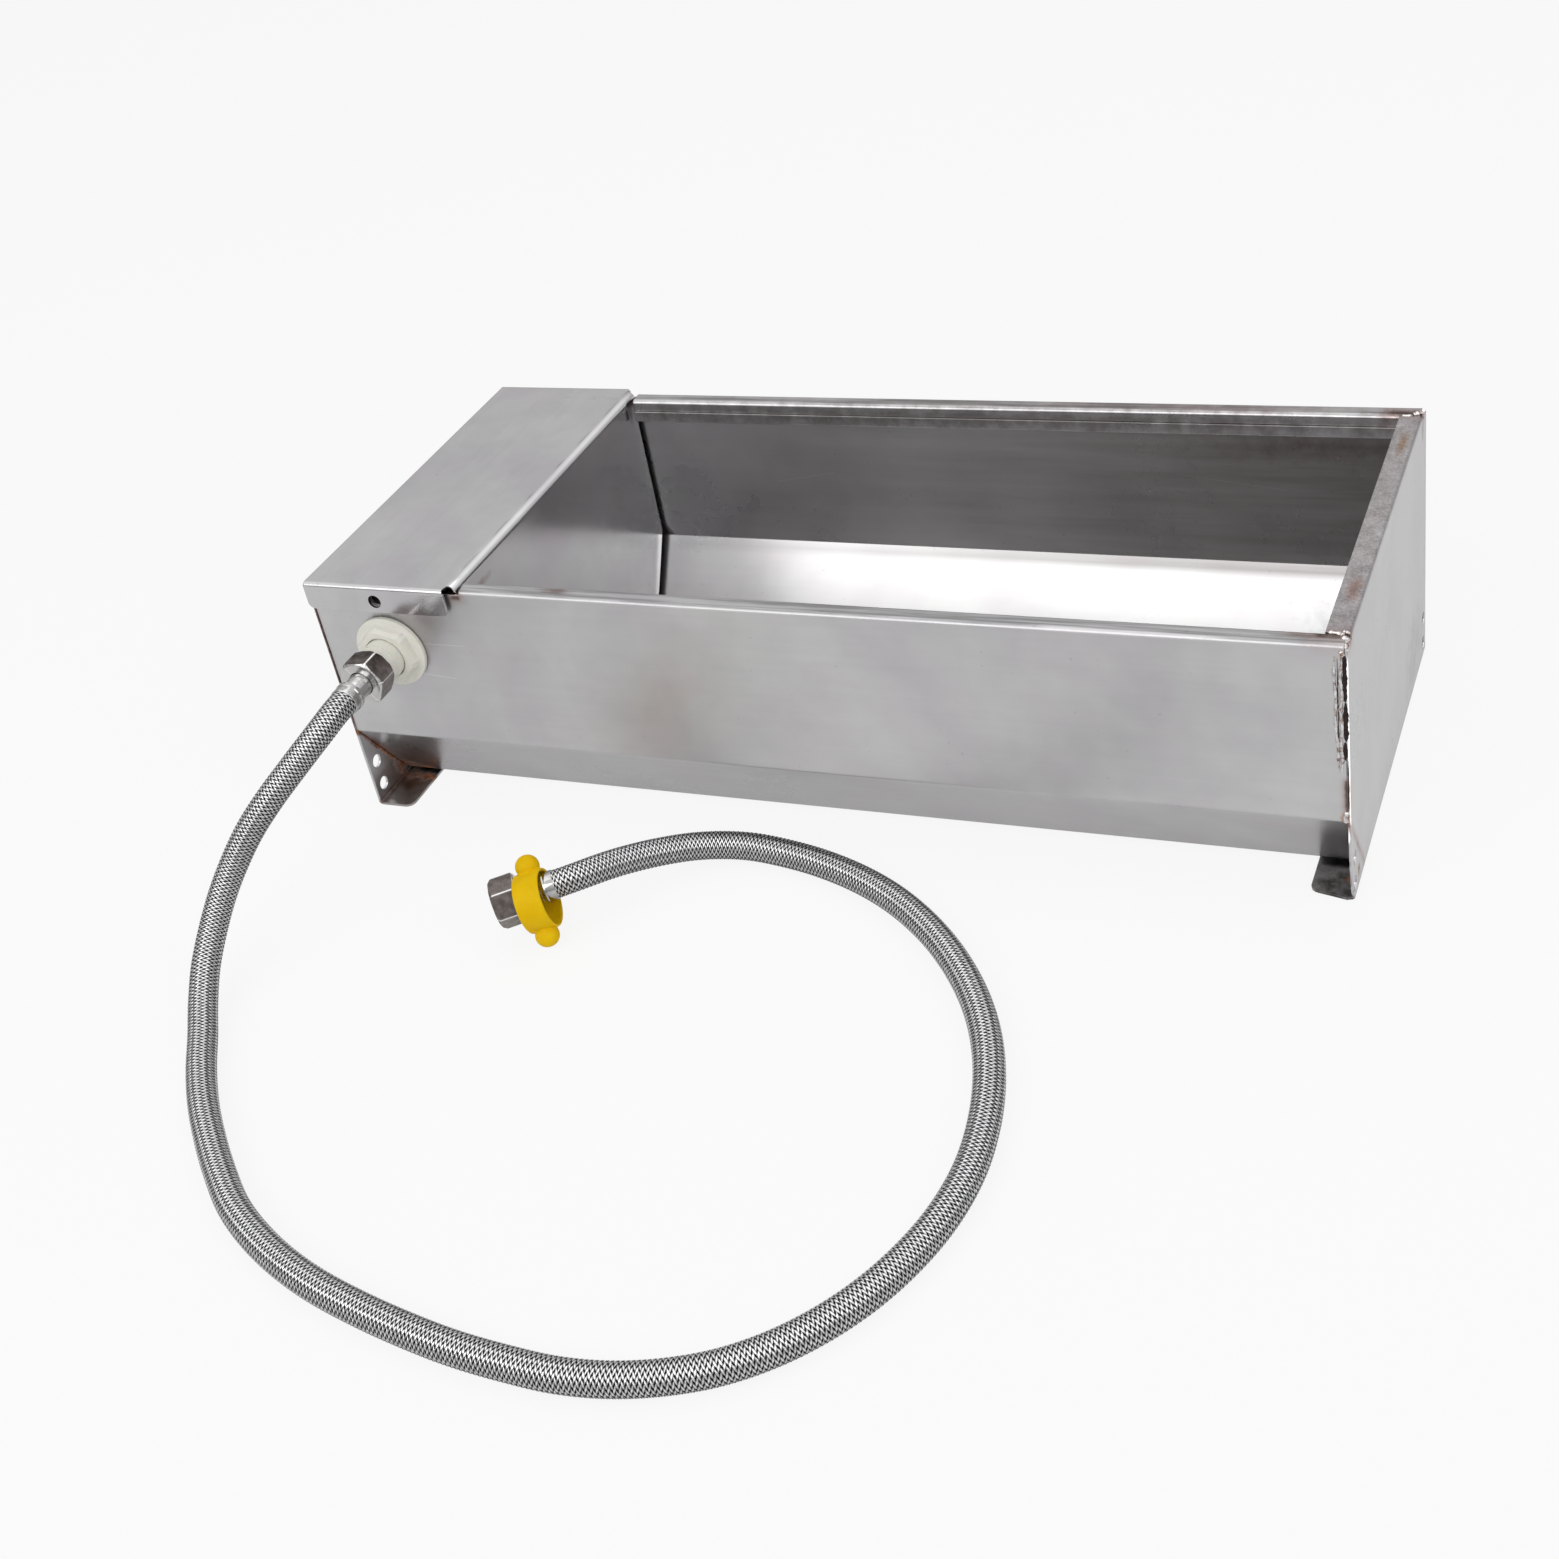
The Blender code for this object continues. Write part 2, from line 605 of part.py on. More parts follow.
def fold_down(shape, edge, drop):
    """Extrudes an edge downwards and gives the new lower edge."""
    made = bmesh.ops.extrude_edge_only(shape, edges=[edge])["geom"]
    for item in made:
        if isinstance(item, bmesh.types.BMVert):
            item.co.z -= drop
    lower = [item for item in made if isinstance(item, bmesh.types.BMEdge)]
    new = [item for item in made if isinstance(item, bmesh.types.BMVert)]
    return next(item for item in lower if set(item.verts) == set(new))


def make_weld_nut(trough, name, side):
    outer = HALF_WIDTH - SHEET - GAP
    middle = side * (outer - WELD_NUT_THICKNESS / 2)
    turn = Matrix.Translation((VALVE_X, middle, COVER_HOLE_HEIGHT)) @ IN_XZ
    nut = place(plate(name, hexagon(WELD_NUT_FLATS), WELD_NUT_THICKNESS, turn), trough, "stainless")
    start = (VALVE_X, middle - WELD_NUT_THICKNESS, COVER_HOLE_HEIGHT)
    end = (VALVE_X, middle + WELD_NUT_THICKNESS, COVER_HOLE_HEIGHT)
    boolean(nut, place(rod(f"{name}_bore", WELD_NUT_BORE, start, end), trough))
    return nut


# Valve: local Z points outwards through the wall, local Y up
def make_valve_body(inlet):
    profile = [
        (WATERWAY_RADIUS, STEM_REACH),
        (STEM_END_RADIUS - STEM_END_CHAMFER, STEM_REACH),
        (STEM_END_RADIUS, STEM_REACH - STEM_END_CHAMFER),
        (STEM_END_RADIUS, INLET_NUT_MOUTH - GAP),
        (STEM_RADIUS, INLET_NUT_MOUTH - GAP),
        (STEM_RADIUS, SHOULDER_START),
        (SHOULDER_RADIUS, SHOULDER_START),
        (SHOULDER_RADIUS, BODY_START),
        (BODY_RADIUS, BODY_START),
        (BODY_RADIUS, BODY_END),
        (PISTON_BORE_RADIUS, BODY_END),
        (PISTON_BORE_RADIUS, WATERWAY_END),
        (WATERWAY_RADIUS, WATERWAY_END),
    ]
    body = place(turned("valve_body", profile), inlet, "white_plastic")
    root = -PIN_DROP + LUG_ROOT
    lug = [(root, -PIN_DEPTH + LUG_RADIUS)]
    lug += arc((-PIN_DROP, -PIN_DEPTH), LUG_RADIUS, math.pi / 2, 3 * math.pi / 2, 2 * ARC_STEPS)
    lug.append((root, -PIN_DEPTH - LUG_RADIUS))
    boolean(body, place(plate("lug_block", lug, 2 * LUG_OUTER, IN_YZ), inlet), "UNION")
    bottom = -PIN_DROP - LUG_RADIUS - OVERRUN
    low = (-LUG_INNER, bottom, BODY_END - OVERRUN)
    high = (LUG_INNER, -NOZZLE_RADIUS, -PIN_DEPTH + SLOT_START)
    boolean(body, place(block("lever_slot", low, high), inlet))
    reach = LUG_OUTER + OVERRUN
    pin = ((-reach, -PIN_DROP, -PIN_DEPTH), (reach, -PIN_DROP, -PIN_DEPTH))
    boolean(body, place(rod("pin_bore", PIN_RADIUS + GAP, *pin), inlet))
    outlet = BODY_START - OUTLET_OFFSET
    down = rod("outlet_cut", OUTLET_RADIUS, (0, -BODY_RADIUS - OVERRUN, outlet), (0, 0, outlet))
    boolean(body, place(down, inlet))
    return body


def make_gasket(inlet):
    start = -SHEET - GAP
    profile = [
        (WALL_HOLE_RADIUS, start),
        (SHOULDER_RADIUS, start),
        (SHOULDER_RADIUS, start - GASKET_THICKNESS),
        (WALL_HOLE_RADIUS, start - GASKET_THICKNESS),
    ]
    return place(turned("body_gasket", profile), inlet, "rubber")


def make_backnut(inlet):
    """A round flange against the wall with a lobed grip, both round the stem."""
    top = GAP + BACKNUT_FLANGE
    profile = [
        (WALL_HOLE_RADIUS, top),
        (BACKNUT_RADIUS - BACKNUT_CHAMFER, top),
        (BACKNUT_RADIUS, top - BACKNUT_CHAMFER),
        (BACKNUT_RADIUS, GAP),
        (WALL_HOLE_RADIUS, GAP),
    ]
    nut = place(turned("inlet_backnut", profile), inlet, "white_plastic")
    grip = []
    for k in range(LOBES * LOBE_POINTS):
        angle = 2 * math.pi * k / (LOBES * LOBE_POINTS)
        radius = LOBE_MEAN_RADIUS + LOBE_DEPTH * math.cos(LOBES * angle)
        grip.append((radius * math.cos(angle), radius * math.sin(angle)))
    height = BACKNUT_HEIGHT - top + BACKNUT_CHAMFER
    turn = Matrix.Translation((0, 0, BACKNUT_HEIGHT - height / 2))
    boolean(nut, place(plate("grip_lobes", grip, height, turn), inlet), "UNION")
    bore = rod("backnut_bore", WALL_HOLE_RADIUS, (0, 0, -OVERRUN), (0, 0, BACKNUT_HEIGHT + OVERRUN))
    boolean(nut, place(bore, inlet))
    return nut


def make_seat(inlet):
    base = WATERWAY_END - GAP
    profile = [
        (ORIFICE_RADIUS, base),
        (SEAT_BASE_RADIUS, base),
        (SEAT_BASE_RADIUS, base - SEAT_BASE),
        (NOZZLE_RADIUS, base - SEAT_BASE),
        (NOZZLE_TIP_RADIUS, SEAT_TIP),
        (ORIFICE_RADIUS, SEAT_TIP),
    ]
    return place(turned("valve_seat", profile), inlet, "brass")


def make_piston(inlet):
    """Its origin lies on its slide axis, at the open end where it rests."""
    cup = SEAL_RADIUS + GAP
    floor = -SEAL_THICKNESS + SEAL_PROUD - GAP
    profile = [
        (0, floor),
        (cup, floor),
        (cup, 0),
        (PISTON_RADIUS, 0),
        (PISTON_RADIUS, -PISTON_LENGTH),
        (0, -PISTON_LENGTH),
    ]
    piston = place(turned("piston", profile), inlet, "brass", (0, 0, PISTON_REST))
    middle = -PIN_DEPTH - TRAVEL / 2
    half = LEVER_WIDTH / 2 + GAP
    low = (-half, -PISTON_RADIUS - OVERRUN, middle - PISTON_SLOT / 2)
    high = (half, PISTON_SLOT_TOP, middle + PISTON_SLOT / 2)
    boolean(piston, place(block("piston_slot", low, high), inlet))
    return piston


def make_seal(inlet):
    profile = [(0, 0), (SEAL_RADIUS, 0), (SEAL_RADIUS, -SEAL_THICKNESS), (0, -SEAL_THICKNESS)]
    return place(turned("piston_seal", profile), inlet, "rubber", (0, 0, PISTON_REST + SEAL_PROUD))


def make_pin(inlet):
    """Headed pin through the lugs, with a groove for its clip; turned about X."""
    head = LUG_OUTER + GAP
    groove = -LUG_OUTER - GAP / 2
    groove_end = groove - CLIP_THICKNESS - 2 * GAP
    profile = [
        (0, head + PIN_HEAD),
        (PIN_HEAD_RADIUS, head + PIN_HEAD),
        (PIN_HEAD_RADIUS, head),
        (PIN_RADIUS, head),
        (PIN_RADIUS, groove),
        (GROOVE_RADIUS, groove),
        (GROOVE_RADIUS, groove_end),
        (PIN_RADIUS, groove_end),
        (PIN_RADIUS, groove_end - PIN_TAIL),
        (0, groove_end - PIN_TAIL),
    ]
    pin = place(turned("lever_pin", profile), inlet, "brass", (0, -PIN_DROP, -PIN_DEPTH))
    pin.rotation_euler.y = math.pi / 2
    gap = CLIP_OPENING / 2
    ring = arc((0, 0), CLIP_RADIUS, gap, 2 * math.pi - gap, 6 * ARC_STEPS)
    ring += arc((0, 0), GROOVE_RADIUS + GAP, 2 * math.pi - gap, gap, 6 * ARC_STEPS)
    middle = (groove + groove_end) / 2
    turn = Matrix.Translation((middle, 0, 0)) @ IN_YZ
    clip = plate("pin_clip", ring, CLIP_THICKNESS, turn)
    return pin, place(clip, inlet, "stainless", (0, -PIN_DROP, -PIN_DEPTH))


# Float arm: local X along the pin, local Y out along the arm
def lever_outline():
    """Side view of the lever: bar, upright finger with a round tip, and boss round the pin."""
    along = Vector((math.cos(FINGER_ANGLE), math.sin(FINGER_ANGLE)))
    across = Vector((along.y, -along.x))
    tip = along * FINGER_LENGTH
    bar_end = SOCKET_START + LEVER_WIDTH / 2
    neck_foot = (LEVER_BAR - FINGER_NECK * across.y) / along.y
    spread = math.pi - math.asin(FINGER_NECK / FINGER_RADIUS)
    turn = math.asin(FINGER_NECK / LEVER_BOSS)
    points = [(bar_end, -LEVER_BAR), (bar_end, LEVER_BAR)]
    points.append(tuple(along * neck_foot + across * FINGER_NECK))
    points += arc(tip, FINGER_RADIUS, FINGER_ANGLE - spread, FINGER_ANGLE + spread, 4 * ARC_STEPS)
    last = 2 * math.pi - math.asin(LEVER_BAR / LEVER_BOSS)
    points += arc((0, 0), LEVER_BOSS, FINGER_ANGLE + turn, last, 4 * ARC_STEPS)
    return points


def make_float_arm(arm):
    lever = place(plate("float_lever", lever_outline(), LEVER_WIDTH, IN_YZ), arm, "brass")
    socket_end = SOCKET_START + SOCKET_LENGTH
    socket = rod("lever_socket", SOCKET_RADIUS, (0, SOCKET_START, 0), (0, socket_end, 0))
    boolean(lever, place(socket, arm), "UNION")
    half = LEVER_WIDTH / 2 + OVERRUN
    boolean(lever, place(rod("lever_bore", PIN_RADIUS + GAP, (-half, 0, 0), (half, 0, 0)), arm))
    rod_start = socket_end - SOCKET_DEPTH
    bore = rod("socket_bore", ROD_RADIUS + GAP, (0, rod_start, 0), (0, socket_end + OVERRUN, 0))
    boolean(lever, place(bore, arm))
    float_start = FLOAT_CENTRE - FLOAT_LENGTH / 2
    neck_start = float_start - FLOAT_NECK
    rod_end = float_start + FLOAT_SOCKET - GAP
    place(rod("float_rod", ROD_RADIUS, (0, rod_start + GAP, 0), (0, rod_end, 0)), arm, "brass")
    make_float(arm, neck_start)
    nut_middle = neck_start - GAP - FLOAT_NUT_THICKNESS / 2
    turn = Matrix.Translation((0, nut_middle, 0)) @ IN_XZ
    nut = place(plate("float_nut", hexagon(FLOAT_NUT_FLATS), FLOAT_NUT_THICKNESS, turn), arm, "brass")
    line = ((0, neck_start, 0), (0, nut_middle - FLOAT_NUT_THICKNESS, 0))
    boolean(nut, place(rod("float_nut_bore", ROD_RADIUS + GAP, *line), arm))
    return lever


def make_float(arm, neck_start):
    """A round-shouldered float with a moulding seam and a threaded neck, turned about Y."""
    half = FLOAT_LENGTH / 2
    flat = FLOAT_RADIUS - FLOAT_CORNER
    upper = arc((flat, half - FLOAT_CORNER), FLOAT_CORNER, math.pi / 2, 0)
    seam = [
        (FLOAT_RADIUS, FLOAT_SEAM_WIDTH),
        (FLOAT_RADIUS + FLOAT_SEAM, FLOAT_SEAM_WIDTH / 2),
        (FLOAT_RADIUS + FLOAT_SEAM, -FLOAT_SEAM_WIDTH / 2),
        (FLOAT_RADIUS, -FLOAT_SEAM_WIDTH),
    ]
    lower = [(r, -z) for r, z in upper[::-1]]
    bore = ROD_RADIUS + GAP
    neck = [
        (FLOAT_NECK_RADIUS, -half),
        (FLOAT_NECK_RADIUS, -half - FLOAT_NECK),
        (bore, -half - FLOAT_NECK),
        (bore, FLOAT_SOCKET - half),
        (0, FLOAT_SOCKET - half),
    ]
    profile = [(0, half)] + upper + seam + lower + neck
    ball = place(turned("float", profile), arm, "float_plastic", (0, neck_start + FLOAT_NECK + half, 0))
    ball.rotation_euler.x = -math.pi / 2
    return ball


# Hose ends: local Z runs from the nut's mouth to the hose
def make_hose_end(parent, prefix, names, mouth, collar, nut_turn):
    nut_name, washer_name, tail_name, ferrule_name = names
    make_union_nut(parent, f"{prefix}_{nut_name}", mouth, nut_turn)
    washer = [
        (WASHER_BORE_RADIUS, collar - GAP),
        (WASHER_RADIUS, collar - GAP),
        (WASHER_RADIUS, collar - GAP - WASHER_THICKNESS),
        (WASHER_BORE_RADIUS, collar - GAP - WASHER_THICKNESS),
    ]
    place(turned(f"{prefix}_{washer_name}", washer), parent, "rubber")
    barrel = collar + COLLAR_THICKNESS
    shoulder = barrel + BARREL_LENGTH
    end = shoulder + GAP + FERRULE_LENGTH
    tail = [
        (TAIL_BORE_RADIUS, end),
        (TAIL_NECK_RADIUS, end),
        (TAIL_NECK_RADIUS, shoulder),
        (BARREL_RADIUS, shoulder),
        (BARREL_RADIUS, barrel),
        (COLLAR_RADIUS, barrel),
        (COLLAR_RADIUS, collar),
        (TAIL_BORE_RADIUS, collar),
    ]
    place(turned(f"{prefix}_{tail_name}", tail), parent, "chrome")
    start = shoulder + GAP
    bore = TAIL_NECK_RADIUS + GAP
    ferrule = [
        (bore, end),
        (FERRULE_RADIUS, end),
        (FERRULE_RADIUS, start + FERRULE_BAND),
        (FERRULE_BAND_RADIUS, start + FERRULE_BAND),
        (FERRULE_BAND_RADIUS, start),
        (bore, start),
    ]
    place(turned(f"{prefix}_{ferrule_name}", ferrule), parent, "chrome")
    return end + GAP


def make_union_nut(parent, name, mouth, nut_turn):
    """A hexagon whose hose end is chamfered round, with a lip that holds the tail's collar."""
    end = mouth + NUT_LENGTH
    turn = Matrix.Translation((0, 0, mouth + NUT_LENGTH / 2))
    nut = place(plate(name, hexagon(NUT_FLATS, nut_turn), NUT_LENGTH, turn), parent, "chrome")
    wide = NUT_FLATS / 2 / math.cos(math.pi / 6) + GAP
    chamfer = [
        (0, end + GAP),
        (NUT_END_RADIUS, end + GAP),
        (wide, end + GAP - (wide - NUT_END_RADIUS) * NUT_CHAMFER_SLOPE),
        (wide, mouth - OVERRUN),
        (0, mouth - OVERRUN),
    ]
    boolean(nut, place(turned(f"{name}_chamfer", chamfer), parent), "INTERSECT")
    lip = end - NUT_WALL
    bore = [
        (0, end + OVERRUN),
        (NUT_HOLE_RADIUS, end + OVERRUN),
        (NUT_HOLE_RADIUS, lip),
        (NUT_BORE_RADIUS, lip),
        (NUT_BORE_RADIUS, mouth - OVERRUN),
        (0, mouth - OVERRUN),
    ]
    boolean(nut, place(turned(f"{name}_bore", bore), parent))
    return nut


def make_hand_grip(supply):
    """A ring pressed over the nut's corners, with a rounded knob on two opposite sides."""
    end = GRIP_START + GRIP_LENGTH
    outer = GRIP_RADIUS + GRIP_WALL
    ring = [(GRIP_RADIUS, end), (outer, end), (outer, GRIP_START), (GRIP_RADIUS, GRIP_START)]
    grip = place(turned("hand_grip", ring), supply, "yellow_plastic")
    for side in (-1, 1):
        knob = bmesh.new()
        bmesh.ops.create_uvsphere(
            knob, u_segments=GRIP_LOBE_SEGMENTS, v_segments=GRIP_LOBE_SEGMENTS // 2,
            radius=GRIP_LOBE_RADIUS,
        )
        knob.transform(Matrix.Diagonal((GRIP_LOBE_FLATNESS_SHARE, 1, 1, 1)))
        knob.transform(Matrix.Translation((0, side * GRIP_LOBE_CENTRE, GRIP_START + GRIP_LENGTH / 2)))
        boolean(grip, place(from_bmesh(f"grip_knob_{side}", knob), supply), "UNION")
    inside = rod("grip_bore", GRIP_RADIUS, (0, 0, 0), (0, 0, end + OVERRUN))
    boolean(grip, place(inside, supply))
    return grip


# Hose
def smooth_route(points, first, last):
    """Cubic pieces through the points, with given end directions, read every HOSE_STEP."""
    points = [Vector(point) for point in points]
    slopes = []
    for i, point in enumerate(points):
        if i in (0, len(points) - 1):
            slopes.append(Vector(first if i == 0 else last).normalized())
            continue
        before, after = point - points[i - 1], points[i + 1] - point
        ratio = after.length / before.length
        slopes.append((before * ratio + after / ratio) / (before.length + after.length))
    fine = []
    for i, (a, b) in enumerate(zip(points, points[1:])):
        span = (b - a).length
        for t in np.linspace(0, 1, 2 * ARC_STEPS, endpoint=False):
            fine.append(
                a * (1 + 2 * t) * (1 - t) ** 2 + slopes[i] * span * t * (1 - t) ** 2
                + b * t * t * (3 - 2 * t) - slopes[i + 1] * span * t * t * (1 - t)
            )
    fine.append(points[-1])
    line = np.array([tuple(point) for point in fine])
    travelled = np.concatenate([[0], np.cumsum(np.linalg.norm(np.diff(line, axis=0), axis=1))])
    count = round(travelled[-1] / HOSE_STEP) + 1
    stops = np.linspace(0, travelled[-1], count)
    return np.stack([np.interp(stops, travelled, line[:, k]) for k in range(3)], axis=1)


def make_hose(trough, inlet_exit, supply_exit, supply_way):
    """Its fall from the valve goes along if the valve's place changes."""
    inlet_way = Vector((0, -1, 0))
    slide = inlet_exit - Vector(HOSE_EXIT)
    route = [
        Vector(point) + slide * max(0, 1 - number / HOSE_FALL_POINTS)
        for number, point in enumerate(HOSE_ROUTE)
    ]
    inlet_lead = inlet_exit + inlet_way * HOSE_LEAD
    supply_lead = supply_exit + supply_way * HOSE_LEAD
    between = smooth_route([inlet_lead, *route, supply_lead], inlet_way, -supply_way)
    points = [inlet_exit, *between, supply_exit]
    curve = bpy.data.curves.new("hose", "CURVE")
    curve.dimensions = "3D"
    curve.bevel_depth = HOSE_RADIUS
    curve.bevel_resolution = HOSE_SIDES_RESOLUTION
    curve.use_fill_caps = True
    spline = curve.splines.new("POLY")
    spline.points.add(len(points) - 1)
    for point, place_at in zip(spline.points, points):
        point.co = (*place_at, 1)
    return place(bpy.data.objects.new("hose", curve), trough, "braid")


def supply_frame():
    """Local Z along the fitting towards the hose, local Y towards the upper knob."""
    along = Vector(SUPPLY_DIRECTION).normalized()
    knobs = Vector(SUPPLY_LOBES)
    knobs = (knobs - along * knobs.dot(along)).normalized()
    turn = Matrix((knobs.cross(along), knobs, along)).transposed()
    return Matrix.Translation(SUPPLY_MOUTH) @ turn.to_4x4(), along


def main():
    trough = axis("trough_middle", None, Matrix.Translation((0, TROUGH_Y, 0)))
    wall_point = Matrix.Translation((VALVE_X, -HALF_WIDTH, VALVE_HEIGHT))
    inlet = axis("inlet_axis", trough, wall_point @ Matrix.Rotation(math.pi / 2, 4, "X"))
    pin_point = Matrix.Translation((VALVE_X, -HALF_WIDTH + PIN_DEPTH, VALVE_HEIGHT - PIN_DROP))
    arm = axis("float_arm_axis", trough, pin_point @ Matrix.Rotation(ARM_REST, 4, "X"))
    supply_matrix, supply_way = supply_frame()
    supply = axis("supply_axis", trough, supply_matrix)

    stem_hole = place(rod("stem_hole", WALL_HOLE_RADIUS, (0, 0, -OVERRUN), (0, 0, OVERRUN)), inlet)
    reach = HALF_WIDTH + SKIRT_OFFSET + OVERRUN
    screw_line = ((VALVE_X, -reach, COVER_HOLE_HEIGHT), (VALVE_X, reach, COVER_HOLE_HEIGHT))
    screw_holes = place(rod("screw_holes", COVER_HOLE_RADIUS, *screw_line), trough)

    make_trough(trough, stem_hole, screw_holes)
    make_left_panel(trough)
    make_right_panel(trough)
    make_cover(trough, screw_holes)
    make_weld_nut(trough, "cover_nut_front", -1)
    make_weld_nut(trough, "cover_nut_back", 1)

    make_valve_body(inlet)
    make_gasket(inlet)
    make_backnut(inlet)
    make_seat(inlet)
    make_piston(inlet)
    make_seal(inlet)
    make_pin(inlet)
    make_float_arm(arm)

    collar = INLET_NUT_MOUTH + COLLAR_DEPTH
    inlet_names = ("union_nut", "washer", "tail", "ferrule")
    inlet_reach = make_hose_end(inlet, "inlet", inlet_names, INLET_NUT_MOUTH, collar, INLET_NUT_TURN)
    supply_names = ("nut", "washer", "tail", "ferrule")
    supply_reach = make_hose_end(supply, "supply", supply_names, 0, SUPPLY_COLLAR_DEPTH, 0)
    make_hand_grip(supply)
    inlet_exit = Vector((VALVE_X, -HALF_WIDTH - inlet_reach, VALVE_HEIGHT))
    supply_exit = Vector(SUPPLY_MOUTH) + supply_way * supply_reach
    make_hose(trough, inlet_exit, supply_exit, supply_way)
    for obj in PARTS.objects:
        if obj.type == "MESH":
            obj.data.shade_smooth()
            obj.data.set_sharp_from_angle(angle=SMOOTH_ANGLE)


for old in list(bpy.data.objects):
    bpy.data.objects.remove(old)
PARTS = collection("drinking_trough")
CUTTERS = collection("cutters")
MATERIALS = make_materials()
main()
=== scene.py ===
"""Looks of the drinking trough: bent stainless sheet, a float valve under its cover and a braided hose.

Metres, +Z up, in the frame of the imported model. Most pieces are first laid out round the trough's
own middle, which lies TROUGH_Y behind the origin.
"""

import math
from contextlib import contextmanager

import bmesh
import bpy
import numpy as np
from mathutils import Matrix, Vector


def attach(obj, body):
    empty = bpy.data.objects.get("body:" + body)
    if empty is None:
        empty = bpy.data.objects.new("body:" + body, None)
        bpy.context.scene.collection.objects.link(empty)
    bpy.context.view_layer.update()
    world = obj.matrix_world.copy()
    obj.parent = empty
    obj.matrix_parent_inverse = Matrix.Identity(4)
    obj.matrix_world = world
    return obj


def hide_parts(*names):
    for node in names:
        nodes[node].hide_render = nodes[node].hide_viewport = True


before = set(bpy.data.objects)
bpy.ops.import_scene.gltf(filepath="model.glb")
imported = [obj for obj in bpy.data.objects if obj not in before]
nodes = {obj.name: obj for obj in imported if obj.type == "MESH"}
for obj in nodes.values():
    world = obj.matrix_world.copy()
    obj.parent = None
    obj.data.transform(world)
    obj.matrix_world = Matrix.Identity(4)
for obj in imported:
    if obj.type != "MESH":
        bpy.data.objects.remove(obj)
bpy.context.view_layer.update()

# Sheet metal, as in the part's source
TROUGH_Y = 0.01035
SHEET = 0.0012
BEND_RADIUS = 0.0016
HALF_LENGTH = 0.250
HALF_WIDTH = 0.104
HEIGHT = 0.135
WALL_BEND_HEIGHT = 0.0475
FLOOR_HEIGHT = 0.0035
FLOOR_HALF_WIDTH = 0.074
RIM_WIDTH = 0.0095
LIP_HEIGHT = 0.012
HEM_HEIGHT = 0.006
HEM_GAP = 0.0003
SHELL_END = 0.2485
RIM_START_X = -0.163
BARE_WALL_TOP = 0.1328
TOP_FLANGE = 0.0105
FOOT_FLANGE = 0.020
COVER_TOP = 0.1365
COVER_LEFT = -0.2495
COVER_BEND = 0.0022
SKIRT_END = -0.170
SKIRT_FACE = 0.1071
SKIRT_BOTTOM = 0.1224
FLAP_X = -0.1655
TAB_HALF_WIDTH = 0.102
VALVE_X = -0.210
VALVE_HEIGHT = 0.0995
SCREW_HEIGHT = 0.1284
SCREW_HOLE_RADIUS = 0.0035
VALVE_HOLE_RADIUS = 0.0108
PANEL_HOLE_RADIUS = 0.0035
PANEL_HOLES = [(z, y) for z in (0.009, 0.023) for y in (-0.097, 0.097)]
FLANGE_HALF_WIDTH = 0.0942
FLAP_BOTTOM = 0.0077
ROOF = COVER_TOP - SHEET / 2
TAB = np.linspace(-TAB_HALF_WIDTH, TAB_HALF_WIDTH, 25)
BEND_STEPS = 10
SUPPORT = 0.0007
EDGE_ROUNDING = 0.0002
ACROSS_HOLE = np.linspace(-1, 1, 9)
HOLE_CELL = 0.0045
WALL_HOLE_CELL = 0.0042
VALVE_HOLE_CELL = 0.0135

# Fittings
NUT_FLATS = 0.0218
NUT_LENGTH = 0.0125
INLET_NUT_MOUTH = 0.0190
SUPPLY_MOUTH = (-0.1273, -0.1913, 0.0193)
SUPPLY_DIRECTION = (0.849, 0.511, 0.134)
SUPPLY_LOBES = (-0.314, 0.33, 0.889)
INLET_COLLAR = 0.0259
SUPPLY_COLLAR = 0.0077
INLET_NUT_TURN = math.radians(36)

# Hose: the route of the part's source, in the trough's own frame
HOSE_EXIT = (-0.210, -0.1523, 0.0995)
HOSE_LEAD = 0.003
HOSE_ROUTE = [
    (-0.2125, -0.1725, 0.0957), (-0.2207, -0.1880, 0.0862), (-0.2300, -0.2005, 0.0755),
    (-0.2395, -0.2090, 0.0635), (-0.2475, -0.2170, 0.0505), (-0.2520, -0.2280, 0.0385),
    (-0.2530, -0.2415, 0.0270), (-0.2500, -0.2570, 0.0180), (-0.2430, -0.2730, 0.0115),
    (-0.2320, -0.2910, 0.0083), (-0.2200, -0.3100, 0.0073), (-0.2050, -0.3300, 0.0073),
    (-0.1890, -0.3480, 0.0073), (-0.1720, -0.3650, 0.0073), (-0.1550, -0.3800, 0.0073),
    (-0.1270, -0.3970, 0.0073), (-0.1000, -0.4080, 0.0073), (-0.0740, -0.4150, 0.0073),
    (-0.0490, -0.4200, 0.0073), (-0.0250, -0.4235, 0.0073), (-0.0020, -0.4250, 0.0073),
    (0.0210, -0.4250, 0.0073), (0.0410, -0.4220, 0.0073), (0.0600, -0.4160, 0.0073),
    (0.0780, -0.4070, 0.0073), (0.0930, -0.3955, 0.0073), (0.1065, -0.3810, 0.0073),
    (0.1180, -0.3640, 0.0073), (0.1270, -0.3450, 0.0073), (0.1340, -0.3220, 0.0073),
    (0.1370, -0.2970, 0.0073), (0.1350, -0.2690, 0.0073), (0.1280, -0.2395, 0.0073),
    (0.1155, -0.2100, 0.0073), (0.0970, -0.1820, 0.0073), (0.0735, -0.1570, 0.0073),
    (0.0470, -0.1375, 0.0073), (0.0190, -0.1245, 0.0073), (-0.0080, -0.1175, 0.0075),
    (-0.0320, -0.1170, 0.0093), (-0.0520, -0.1245, 0.0126), (-0.0680, -0.1370, 0.0164),
    (-0.0800, -0.1505, 0.0200),
]
STRANDS_EACH_WAY = 12
